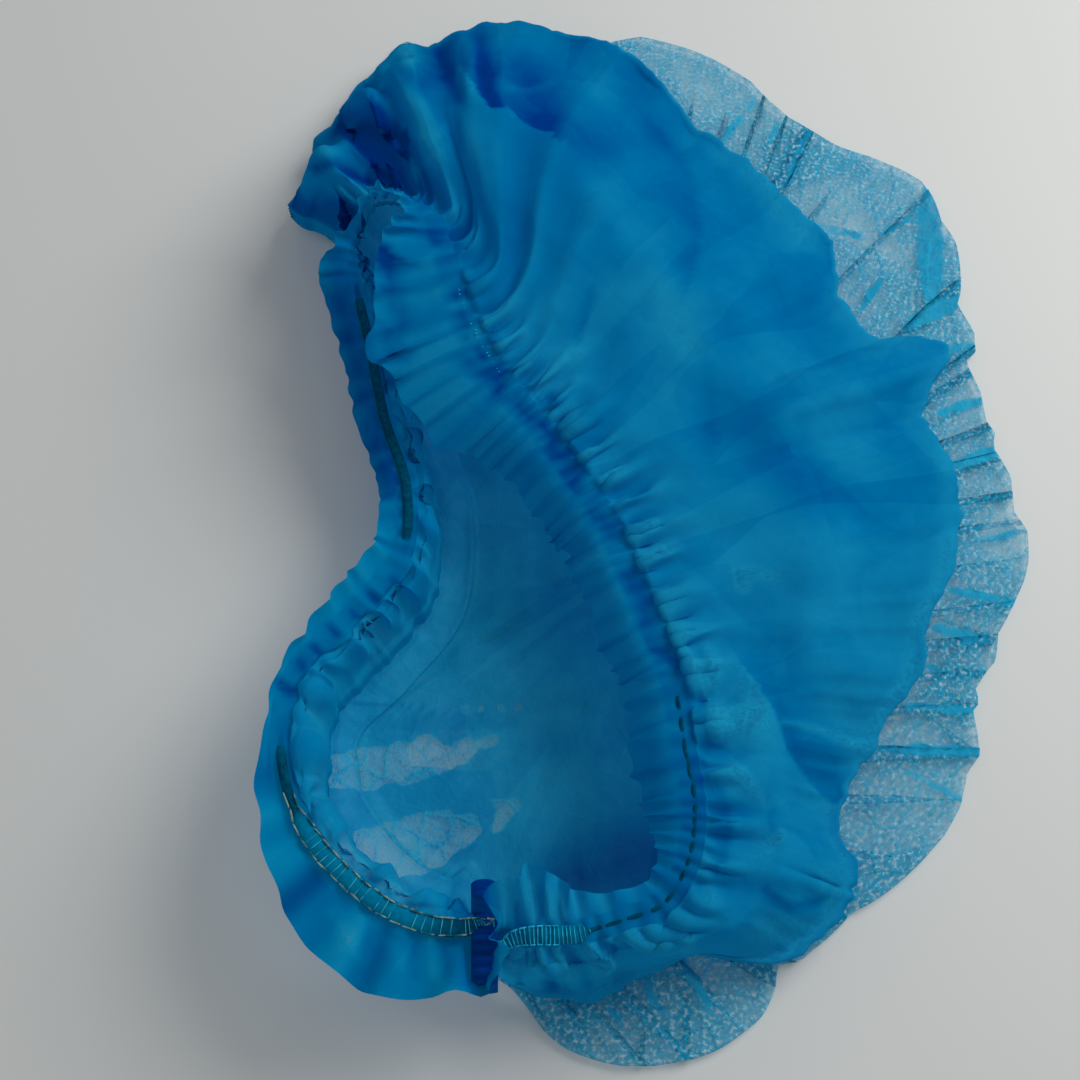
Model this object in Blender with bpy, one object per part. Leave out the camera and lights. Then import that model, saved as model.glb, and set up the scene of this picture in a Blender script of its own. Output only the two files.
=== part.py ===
"""Disposable bouffant hairnet of spunbond cloth, lying on a table with its mouth up.

The cap is a thin bag. Round its mouth runs a flat elastic, sewn between the bag and
a narrow frill. The bag's upper layer is drawn out to the right: it folds back under
itself, comes out again as a flat margin, and returns below as the layer that lies on
the table. Everything is in metres, with +Z up, and the table is at z = 0.
"""

import math

import bpy
import numpy as np

# Sizes that are set by themselves
CAP_LENGTH = 0.285
CAP_WIDTH = 0.188
CAP_HEIGHT = 0.050
FABRIC_WALL = 0.0012
LAYER_CLEARANCE = 0.0022
ELASTIC_WIDTH = 0.0048
ELASTIC_THICKNESS = 0.0014
SEWING_GAP = 0.0003
FRILL_WIDTH = 0.0150
FRILL_WAVE_DEPTH = 0.0024
GATHER_DEPTH = 0.0016
GATHER_RUN = 0.0080
PLEAT_DEPTH = 0.0034
SCALLOP_DEPTH = 0.0022

# How many stations run round the mouth, and how many waves they carry
STATIONS = 108
GATHERS = 27
SCALLOPS = 18
FRILL_WAVES = 54

# Middles of the cloth layers that lie on each other, counted up from the table
LAYER_STEP = FABRIC_WALL + LAYER_CLEARANCE
FLOOR_LEVEL = FABRIC_WALL / 2
MARGIN_LEVEL = FLOOR_LEVEL + LAYER_STEP
RETURN_LEVEL = MARGIN_LEVEL + LAYER_STEP
UPPER_LEVEL = RETURN_LEVEL + LAYER_STEP
HAIRPIN_REACH = 0.75 * LAYER_STEP

# One section for each place round the mouth, clockwise from the seam as seen from above.
# edge:  the elastic's middle;  crest_z: how high the bag stands behind it
# fold:  where the upper layer turns under;  tuck: how far it goes back
# rim:   the outermost edge on the table (inside the mouth, the foot of the wall)
# turn:  the way the bag leaves the elastic, in degrees, 0 away from the mouth, 90 up
# lean:  the way the frill leaves it;  frill: its share of FRILL_WIDTH
# ruck:  how deep the pleats are, as a share of PLEAT_DEPTH
# x and tuck are shares of CAP_WIDTH, y of CAP_LENGTH and z of CAP_HEIGHT.
SECTION_COLUMNS = (
    "name edge_x edge_y edge_z crest_z fold_x fold_y tuck rim_x rim_y turn lean frill ruck"
).split()
SECTIONS = (
    ("seam", -0.21, -0.41, 0.62, 0.44, -0.22, -0.43, 0.00, -0.20, -0.44, 270, 95, 0.7, 0.3),
    ("slot_left", -0.25, -0.41, 0.68, 0.62, -0.25, -0.385, 0.00, -0.24, -0.36, 205, 20, 0.8, 0.2),
    ("low_left", -0.31, -0.40, 0.72, 0.72, -0.29, -0.38, 0.00, -0.275, -0.355, 185, 5, 0.9, 0.1),
    ("low_corner", -0.38, -0.37, 0.74, 0.74, -0.355, -0.35, 0.00, -0.33, -0.33, 185, 10, 0.8, 0.1),
    ("left_bulge", -0.44, -0.32, 0.76, 0.76, -0.42, -0.305, 0.00, -0.38, -0.29, 185, 30, 0.45, 0.1),
    ("left_cheek", -0.46, -0.27, 0.76, 0.76, -0.425, -0.27, 0.00, -0.39, -0.265, 185, 65, 0.3, 0.1),
    ("left_corner", -0.45, -0.21, 0.70, 0.70, -0.42, -0.22, 0.00, -0.39, -0.235, 185, 75, 0.35, 0.1),
    ("waist_low", -0.39, -0.16, 0.62, 0.62, -0.36, -0.175, 0.00, -0.325, -0.19, 185, 75, 0.4, 0.1),
    ("waist", -0.33, -0.10, 0.56, 0.56, -0.295, -0.11, 0.00, -0.255, -0.12, 185, 75, 0.35, 0.1),
    ("waist_high", -0.33, -0.04, 0.54, 0.54, -0.295, -0.035, 0.00, -0.25, -0.03, 185, 80, 0.3, 0.1),
    ("neck_low", -0.36, 0.02, 0.54, 0.54, -0.325, 0.025, 0.00, -0.28, 0.03, 185, 70, 0.35, 0.1),
    ("neck", -0.38, 0.08, 0.60, 0.60, -0.345, 0.085, 0.00, -0.30, 0.09, 190, 60, 0.4, 0.1),
    ("neck_high", -0.40, 0.14, 0.70, 0.68, -0.37, 0.15, 0.00, -0.34, 0.155, 225, 65, 0.45, 0.2),
    ("tip_left", -0.40, 0.18, 0.78, 0.72, -0.45, 0.24, 0.00, -0.46, 0.25, 275, 90, 0.5, 0.6),
    ("tip", -0.38, 0.21, 0.82, 0.84, -0.47, 0.29, 0.01, -0.51, 0.30, 290, 100, 0.5, 0.9),
    ("tip_top", -0.34, 0.21, 0.84, 0.92, -0.44, 0.38, 0.01, -0.46, 0.40, 305, 110, 0.5, 1.0),
    ("pleat_a", -0.30, 0.19, 0.84, 0.96, -0.37, 0.43, 0.01, -0.39, 0.46, 325, 130, 0.6, 1.0),
    ("pleat_b", -0.28, 0.15, 0.84, 0.96, -0.26, 0.47, 0.01, -0.27, 0.50, 345, 155, 0.8, 0.9),
    ("top_crown", -0.25, 0.09, 0.82, 0.90, -0.08, 0.46, 0.02, -0.12, 0.50, 355, 170, 0.8, 0.5),
    ("top_right", -0.21, 0.04, 0.80, 0.82, 0.08, 0.37, 0.05, 0.08, 0.46, 355, 172, 0.8, 0.2),
    ("shoulder", -0.16, 0.00, 0.76, 0.76, 0.22, 0.27, 0.08, 0.28, 0.36, 355, 174, 0.8, 0.1),
    ("wing_top", -0.12, -0.04, 0.76, 0.72, 0.28, 0.17, 0.09, 0.43, 0.28, 355, 176, 0.8, 0.1),
    ("wing_high", -0.08, -0.08, 0.76, 0.68, 0.36, 0.08, 0.10, 0.455, 0.14, 355, 178, 0.8, 0.1),
    ("wing", -0.05, -0.13, 0.76, 0.66, 0.41, 0.00, 0.11, 0.49, 0.00, 355, 182, 0.8, 0.1),
    ("wing_low", -0.02, -0.18, 0.76, 0.66, 0.39, -0.10, 0.11, 0.50, -0.09, 355, 190, 0.8, 0.1),
    ("wing_foot", 0.00, -0.22, 0.76, 0.66, 0.34, -0.18, 0.10, 0.44, -0.18, 355, 205, 0.7, 0.1),
    ("bay", 0.01, -0.27, 0.76, 0.66, 0.28, -0.25, 0.10, 0.41, -0.25, 355, 215, 0.7, 0.1),
    ("bay_low", 0.02, -0.32, 0.76, 0.66, 0.22, -0.32, 0.07, 0.35, -0.32, 355, 215, 0.7, 0.1),
    ("heel", 0.01, -0.36, 0.74, 0.66, 0.23, -0.38, 0.04, 0.26, -0.39, 355, 205, 0.8, 0.1),
    ("heel_low", -0.02, -0.39, 0.70, 0.66, 0.12, -0.42, 0.03, 0.15, -0.43, 355, 190, 0.9, 0.2),
    ("lobe_right", -0.06, -0.40, 0.70, 0.62, 0.03, -0.42, 0.02, 0.11, -0.47, 350, 175, 0.9, 0.2),
    ("lobe", -0.12, -0.41, 0.68, 0.58, -0.08, -0.45, 0.02, 0.00, -0.50, 342, 160, 0.9, 0.3),
    ("lobe_left", -0.17, -0.41, 0.66, 0.56, -0.16, -0.45, 0.01, -0.13, -0.49, 330, 130, 0.8, 0.3),
)

# Soft folds in the cloth: where each runs, how far it rises and how wide it is.
# x and width are shares of CAP_WIDTH, y of CAP_LENGTH and rise of CAP_HEIGHT.
FOLD_COLUMNS = "name layer from_x from_y to_x to_y rise width".split()
FOLDS = (
    ("upper_pucker", "upper", -0.02, 0.30, 0.14, 0.10, 0.07, 0.045),
    ("shoulder_fold", "upper", 0.02, 0.02, 0.26, 0.16, 0.08, 0.045),
    ("wing_fold", "upper", 0.08, -0.08, 0.34, -0.01, 0.08, 0.045),
    ("bay_fold", "upper", 0.10, -0.24, 0.24, -0.14, 0.07, 0.040),
    ("floor_sliver", "floor", -0.30, -0.19, -0.02, -0.20, 0.07, 0.050),
    ("floor_middle", "floor", -0.32, -0.25, 0.00, -0.26, 0.08, 0.050),
    ("floor_low", "floor", -0.28, -0.31, -0.04, -0.33, 0.07, 0.050),
)

# The middle of the layer on the table, as shares of CAP_WIDTH and CAP_LENGTH
FLOOR_MIDDLE = (0.03, -0.04)
# How far along its run each row of the bag lies, and how strongly the gathers show there
LIP_ROWS = ((0.00, 0.0), (0.20, 0.5), (0.45, 1.0), (0.70, 0.8), (1.00, 0.6))
BACK_ROWS = ((0.35, 0.4), (0.70, 0.2), (1.00, 0.0))
# How far from the middle each row of the layer on the table lies, as shares of the way out
FLOOR_ROWS = (0.80, 0.55, 0.30)
# How far from the elastic to the fold the bag stands highest, and how round its far slope is
CREST_SHARE = 0.45
SLOPE_SHARE = 0.6
# The stretch of the elastic, as a share of it all, over which its direction is read
TANGENT_SHARE = 0.0005
# Edges sharper than this many degrees are shaded sharp
SHARP_ANGLE = 60
UP = np.array([0.0, 0.0, 1.0])


def unit(vectors):
    """The vectors at length 1, where a zero vector stays as it is."""
    lengths = np.linalg.norm(vectors, axis=-1, keepdims=True)
    return vectors / np.where(lengths > 0, lengths, 1.0)


def column(table, columns, name, size=1.0):
    """One column of a table, at real size."""
    place = columns.index(name)
    return size * np.array([row[place] for row in table])


def closed_curve(values, knots, span, at):
    """A smooth closed curve through the values at their knots, read at other places."""
    count = len(values)
    at = np.mod(at, span)
    here = np.searchsorted(knots, at, side="right") - 1
    following = (here + 1) % count
    long = np.append(knots, span)
    width = np.diff(long)
    slopes = (np.roll(values, -1) - values) / width
    before, after = np.roll(width, 1), width
    tangents = (np.roll(slopes, 1) * after + slopes * before) / (before + after)
    step = (at - knots[here]) / width[here]
    rise = width[here]
    return (
        (2 * step**3 - 3 * step**2 + 1) * values[here]
        + (step**3 - 2 * step**2 + step) * rise * tangents[here]
        + (3 * step**2 - 2 * step**3) * values[following]
        + (step**3 - step**2) * rise * tangents[following]
    )


def hermite(start, leave, end, arrive, share):
    """The point at this share of a smooth run from start to end."""
    return (
        (2 * share**3 - 3 * share**2 + 1) * start
        + (share**3 - 2 * share**2 + share) * leave
        + (3 * share**2 - 2 * share**3) * end
        + (share**3 - share**2) * arrive
    )


class Mouth:
    """The table of sections as smooth curves round the mouth."""

    def __init__(self):
        sizes = {"x": CAP_WIDTH, "y": CAP_LENGTH, "z": CAP_HEIGHT, "tuck": CAP_WIDTH}
        self.values = {
            name: column(SECTIONS, SECTION_COLUMNS, name, sizes.get(name.split("_")[-1], 1.0))
            for name in SECTION_COLUMNS[1:]
        }
        edge = np.stack([self.values["edge_x"], self.values["edge_y"], self.values["edge_z"]], 1)
        rim = np.stack([self.values["rim_x"], self.values["rim_y"]], 1)
        steps = np.linalg.norm(np.roll(edge, -1, 0) - edge, axis=1)
        rim_steps = np.linalg.norm(np.roll(rim, -1, 0) - rim, axis=1)
        self.span = steps.sum()
        self.knots = np.append(0.0, np.cumsum(steps)[:-1])
        ends = np.append(0.0, np.cumsum(steps + rim_steps))
        self.even = ends / ends[-1]

    def stations(self):
        """Places round the mouth, as close along the rim as along the elastic."""
        shares = np.arange(STATIONS) / STATIONS
        return np.interp(shares, self.even, np.append(self.knots, self.span))

    def read(self, name, at):
        return closed_curve(self.values[name], self.knots, self.span, at)

    def edge(self, at):
        return np.stack([self.read("edge_" + axis, at) for axis in "xyz"], 1)

    def place(self, name, at, level):
        return np.stack(
            [self.read(name + "_x", at), self.read(name + "_y", at), np.full(len(at), level)], 1
        )

    def direction(self, name, at):
        """The way that the bag or the frill leaves the elastic, square to the elastic."""
        small = self.span * TANGENT_SHARE
        along = unit(self.edge(at + small) - self.edge(at - small))
        outward = unit(np.cross(UP, along))
        angle = np.radians(self.read(name, at))[:, None]
        way = np.cos(angle) * outward + np.sin(angle) * UP
        way -= (way * along).sum(1, keepdims=True) * along
        return unit(way), along


def fold_rise(points, layer):
    """How far the soft folds lift the cloth at these points."""
    rise = np.zeros(len(points))
    sizes = {"from_x": CAP_WIDTH, "from_y": CAP_LENGTH, "to_x": CAP_WIDTH, "to_y": CAP_LENGTH}
    sizes.update(rise=CAP_HEIGHT, width=CAP_WIDTH)
    for row in FOLDS:
        fold = {name: value for name, value in zip(FOLD_COLUMNS, row)}
        if fold["layer"] != layer:
            continue
        size = {name: fold[name] * scale for name, scale in sizes.items()}
        start = np.array([size["from_x"], size["from_y"]])
        run = np.array([size["to_x"], size["to_y"]]) - start
        share = np.clip(((points[:, :2] - start) @ run) / (run @ run), 0, 1)
        nearest = start + share[:, None] * run
        away = np.linalg.norm(points[:, :2] - nearest, axis=1)
        rise += size["rise"] * np.exp(-((away / size["width"]) ** 2))
    return rise


def bag_rows(mouth):
    """The middle of the bag's cloth: a list of closed rows, from the elastic to the floor."""
    at = mouth.stations()
    turn = np.arange(STATIONS) / STATIONS * 2 * math.pi
    gather = np.cos(GATHERS * turn)[:, None]
    scallop = np.cos(SCALLOPS * turn)[:, None]
    ruck = mouth.read("ruck", at)[:, None]
    way, _ = mouth.direction("turn", at)
    start = mouth.edge(at) + way * (ELASTIC_WIDTH / 2 + SEWING_GAP)

    fold = mouth.place("fold", at, UPPER_LEVEL)
    flat = np.array([1.0, 1.0, 0.0])
    outward = unit((fold - start) * flat)
    tuck = np.maximum(mouth.read("tuck", at), 0.0)[:, None]
    reach = np.minimum(HAIRPIN_REACH, tuck)
    fold_top = fold - outward * reach
    level = unit(outward * reach - UP * (HAIRPIN_REACH - reach))

    crest = start + CREST_SHARE * (fold_top - start)
    crest[:, 2] = mouth.read("crest_z", at)
    back = unit((fold_top - start) * flat)
    lip_run = np.linalg.norm(crest - start, axis=1, keepdims=True)
    slope_run = SLOPE_SHARE * np.linalg.norm(fold_top - crest, axis=1, keepdims=True)
    depth = (GATHER_DEPTH + PLEAT_DEPTH * ruck) * gather
    rows = []
    for share, strength in LIP_ROWS:
        row = hermite(start, way * lip_run, crest, back * lip_run, share)
        free = np.linalg.norm(row - start, axis=1, keepdims=True) / GATHER_RUN
        row[:, 2:] += strength * depth * np.minimum(free, 1.0)
        rows.append(row)
    for share, strength in BACK_ROWS:
        row = hermite(crest, back * slope_run, fold_top, level * slope_run, share)
        row[:, 2:] += strength * depth
        rows.append(row)
    for row in rows[2:-1]:
        row[:, 2] += fold_rise(row, "upper")

    def at_level(points, height):
        return np.column_stack([points[:, :2], np.full(len(points), height)])

    tucked = fold - outward * tuck
    rows.append(at_level(fold, (UPPER_LEVEL + RETURN_LEVEL) / 2))
    rows.append(at_level(fold - outward * reach, RETURN_LEVEL))
    rows.append(at_level(tucked, (RETURN_LEVEL + MARGIN_LEVEL) / 2))
    rows.append(at_level(tucked + outward * reach, MARGIN_LEVEL))

    rim = mouth.place("rim", at, 0.0)
    margin_way = unit((rim - fold) * flat)
    rim = rim + margin_way * scallop * SCALLOP_DEPTH
    rim_top = rim - margin_way * HAIRPIN_REACH
    rows.append(at_level((rows[-1] + rim_top) / 2, MARGIN_LEVEL))
    rows.append(at_level(rim_top, MARGIN_LEVEL))
    rows.append(at_level(rim, (MARGIN_LEVEL + FLOOR_LEVEL) / 2))

    middle = np.array([FLOOR_MIDDLE[0] * CAP_WIDTH, FLOOR_MIDDLE[1] * CAP_LENGTH, 0.0])
    foot = rim + unit((middle - rim) * flat) * HAIRPIN_REACH
    rows.append(at_level(foot, FLOOR_LEVEL))
    for share in FLOOR_ROWS:
        row = at_level(middle + share * (foot - middle), FLOOR_LEVEL)
        row[:, 2] += fold_rise(row, "floor")
        rows.append(row)
    return rows, at_level(middle[None], FLOOR_LEVEL)[0]


def row_normals(rows, pole=None):
    """Which way the cloth faces at each point of its rows."""
    grid = np.stack(rows)
    last = grid[-1:] if pole is None else np.broadcast_to(pole, grid[-1:].shape)
    down = np.concatenate([grid[1:], last]) - np.concatenate([grid[:1], grid[:-1]])
    along = np.roll(grid, -1, 1) - np.roll(grid, 1, 1)
    return unit(np.cross(along, down))


def sewn_face(mouth, at):
    """Which way the elastic's flat side faces."""
    way, along = mouth.direction("turn", at)
    return unit(np.cross(along, way))


def with_halfway(values, closing=0.0):
    """The values of a ring with the middle of each pair of neighbours between them."""
    following = np.roll(values, -1, 0)
    following[-1] = following[-1] + closing
    return np.stack([values, (values + following) / 2], 1).reshape(-1, *values.shape[1:])


def bag_solid(mouth):
    """The bag as one closed wall, open at its mouth."""
    rows, pole = bag_rows(mouth)
    normals = row_normals(rows, pole)
    normals[0] = sewn_face(mouth, mouth.stations())
    flat_rows = len(FLOOR_ROWS) + 1
    normals[-flat_rows] = np.where(normals[-flat_rows][:, 2:] < 0, -UP, UP)
    half_wall = normals * FABRIC_WALL / 2
    pole_half_wall = UP * np.sign(normals[-1][0, 2]) * FABRIC_WALL / 2
    grid = np.stack(rows)
    count, across = grid.shape[:2]
    points = np.concatenate(
        [
            (grid + half_wall).reshape(-1, 3),
            (grid - half_wall).reshape(-1, 3),
            [pole + pole_half_wall, pole - pole_half_wall],
        ]
    )
    other = count * across
    faces = []
    for row in range(count - 1):
        for here in range(across):
            following = (here + 1) % across
            a, b = row * across + here, row * across + following
            c, d = b + across, a + across
            faces.append((a, b, c, d))
            faces.append((other + d, other + c, other + b, other + a))
    for here in range(across):
        following = (here + 1) % across
        faces.append((other + here, other + following, following, here))
        low, high = (count - 1) * across + here, (count - 1) * across + following
        faces.append((low, high, 2 * other))
        faces.append((other + high, other + low, 2 * other + 1))
    return points, faces


def ring_solid(sections):
    """A closed ring from stations x corners, each station one section."""
    stations, corners = sections.shape[:2]
    faces = []
    for here in range(stations):
        following = (here + 1) % stations
        for corner in range(corners):
            near = (corner + 1) % corners
            faces.append(
                (
                    here * corners + corner,
                    here * corners + near,
                    following * corners + near,
                    following * corners + corner,
                )
            )
    return sections.reshape(-1, 3), faces


def elastic_solid(mouth):
    """The flat elastic that draws the mouth in."""
    at = mouth.stations()
    middle = mouth.edge(at)
    way, _ = mouth.direction("turn", at)
    face = sewn_face(mouth, at)
    half_width, half_thickness = way * ELASTIC_WIDTH / 2, face * ELASTIC_THICKNESS / 2
    corners = [
        middle + half_width + half_thickness,
        middle - half_width + half_thickness,
        middle - half_width - half_thickness,
        middle + half_width - half_thickness,
    ]
    return ring_solid(np.stack(corners, 1))


def frill_solid(mouth):
    """The free edge of the cloth beyond the elastic, in waves that grow outwards."""
    at = mouth.stations()
    sewn, _ = mouth.direction("turn", at)
    start = with_halfway(mouth.edge(at) - sewn * (ELASTIC_WIDTH / 2 + SEWING_GAP))
    hem_face = with_halfway(sewn_face(mouth, at))
    sewn = with_halfway(sewn)
    at = with_halfway(at, mouth.span)
    wave = np.cos(FRILL_WAVES * np.arange(len(at)) / len(at) * 2 * math.pi)[:, None]
    lean, along = mouth.direction("lean", at)
    width = FRILL_WIDTH * mouth.read("frill", at)[:, None]
    face = unit(np.cross(along, -lean))
    middle = start + unit(lean - sewn) * width / 2 + face * wave * FRILL_WAVE_DEPTH / 2
    end = start + unit(lean - sewn) * width / 2 + lean * width / 2 + face * wave * FRILL_WAVE_DEPTH
    rows = [start, middle, end]
    normals = row_normals(rows)
    normals[0] = hem_face * np.sign((hem_face * normals[0]).sum(1, keepdims=True))
    above = [row + normal * FABRIC_WALL / 2 for row, normal in zip(rows, normals)]
    below = [row - normal * FABRIC_WALL / 2 for row, normal in zip(rows, normals)]
    return ring_solid(np.stack(above + below[::-1], 1))


def plain_material(name, colour, roughness, alpha=1.0):
    material = bpy.data.materials.new(name)
    material.use_nodes = True
    shader = material.node_tree.nodes["Principled BSDF"]
    shader.inputs["Base Color"].default_value = (*colour, 1.0)
    shader.inputs["Roughness"].default_value = roughness
    shader.inputs["Metallic"].default_value = 0.0
    shader.inputs["Alpha"].default_value = alpha
    material.diffuse_color = (*colour, 1.0)
    return material


def volume_of(points, faces):
    total = 0.0
    for face in faces:
        first = points[face[0]]
        for second, third in zip(face[1:-1], face[2:]):
            total += np.dot(first, np.cross(points[second], points[third])) / 6
    return total


def add_piece(name, solid, material, carrier):
    """One named object from points and faces, with its faces pointing out."""
    points, faces = solid
    if volume_of(points, faces) < 0:
        faces = [face[::-1] for face in faces]
    mesh = bpy.data.meshes.new(name)
    mesh.from_pydata([tuple(point) for point in points], [], faces)
    mesh.materials.append(material)
    mesh.shade_smooth()
    mesh.set_sharp_from_angle(angle=math.radians(SHARP_ANGLE))
    piece = bpy.data.objects.new(name, mesh)
    piece.parent = carrier
    bpy.context.scene.collection.objects.link(piece)
    return piece


def clear_scene():
    for item in list(bpy.data.objects):
        bpy.data.objects.remove(item, do_unlink=True)


def main():
    clear_scene()
    mouth = Mouth()
    cloth = plain_material("spunbond_cloth", (0.01, 0.20, 0.40), 0.65, 0.85)
    frill_cloth = plain_material("frill_cloth", (0.01, 0.16, 0.38), 0.65, 0.85)
    rubber = plain_material("elastic", (0.10, 0.42, 0.55), 0.50)
    solids = {
        "crown": (bag_solid(mouth), cloth),
        "elastic_band": (elastic_solid(mouth), rubber),
        "hem_ruffle": (frill_solid(mouth), frill_cloth),
    }
    points = np.concatenate([solid[0] for solid, _ in solids.values()])
    middle = (points.min(0) + points.max(0)) / 2
    carrier = bpy.data.objects.new("hairnet", None)
    carrier.location = (-middle[0], -middle[1], 0.0)
    bpy.context.scene.collection.objects.link(carrier)
    for name, (solid, material) in solids.items():
        add_piece(name, solid, material, carrier)


main()
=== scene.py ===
import math

import bmesh
import bpy
import numpy as np
from mathutils import Matrix, Vector


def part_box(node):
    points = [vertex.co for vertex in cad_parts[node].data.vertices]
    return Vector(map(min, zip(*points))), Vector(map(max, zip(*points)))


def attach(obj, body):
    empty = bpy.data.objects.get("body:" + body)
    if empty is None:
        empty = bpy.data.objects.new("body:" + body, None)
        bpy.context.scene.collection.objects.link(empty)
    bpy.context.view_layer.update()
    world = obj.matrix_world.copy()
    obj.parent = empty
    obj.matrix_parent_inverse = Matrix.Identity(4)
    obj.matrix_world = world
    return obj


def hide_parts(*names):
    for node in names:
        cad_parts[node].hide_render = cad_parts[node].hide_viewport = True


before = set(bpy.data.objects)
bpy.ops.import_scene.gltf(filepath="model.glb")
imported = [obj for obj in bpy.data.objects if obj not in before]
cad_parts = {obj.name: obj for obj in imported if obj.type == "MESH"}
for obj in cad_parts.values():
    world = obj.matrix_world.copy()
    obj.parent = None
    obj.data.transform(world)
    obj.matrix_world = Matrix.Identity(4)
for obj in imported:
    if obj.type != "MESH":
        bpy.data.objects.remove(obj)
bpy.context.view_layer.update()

# Sizes of the cap, in metres
CAP_LENGTH = 0.285
CAP_WIDTH = 0.188
CAP_HEIGHT = 0.050
ELASTIC_WIDTH = 0.0048
ELASTIC_THICKNESS = 0.0010
FRILL_WIDTH = 0.0150
FLOOR_LEVEL = 0.0006
MARGIN_LEVEL = 0.0040
RETURN_LEVEL = 0.0074
UPPER_LEVEL = 0.0108
RIM_LEVEL = 0.0022
HAIRPIN_REACH = 0.0022
CUT_DIAMETER = 0.457

# The stitches: pitch and height of the rails, steps round the mouth of the cross stitches
RAIL_PITCH = 0.0017
RAIL_LIFT = 0.0006
CROSS_STEP = 0.0024
LADDER_STEP = 0.0025
CROSS_LIFT = 0.0005
GLINT_LIFT = 0.0032

# The seam strip: its left, right, top and bottom in the photograph's pixels,
# how high it lies on the cloth and how far apart its ribs are
SEAM_SEEN = (471, 498, 881, 994)
SEAM_LIFT = 0.0009
RIB_PITCH = 0.0026

# Fineness of the cloth
STATIONS = 720
SAMPLES = 1440

# How many waves of each kind go round the mouth
COARSE_GATHERS = 46
FINE_GATHERS = 112
FRILL_WAVES = 72
SLOW_WAVES = 31
TIP_FOLDS = 30
TAPE_RIPPLES = 118

# Pleats: those hidden under the fold, their widths, and the least gap as a share of the round
HIDDEN_PLEATS = 24
HIDDEN_PLEAT_WIDTH = (0.0075, 0.0100)
PLEAT_GAP = 0.0125
# How far a pleat draws the cloth to each side, in stations, and how high one ply lies
PLEAT_REACH = 5.5
PLY = 0.00030

# The photograph's camera
PHOTO_SIDE = 1080
LENS = 50.0
SENSOR = 36.0
TARGET = np.array([-0.0286, -0.0162, 0.0])
CAMERA = TARGET + np.array([0.0, -0.1317, 0.3618])

UP = np.array([0.0, 0.0, 1.0])
FLAT = np.array([1.0, 1.0, 0.0])

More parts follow.
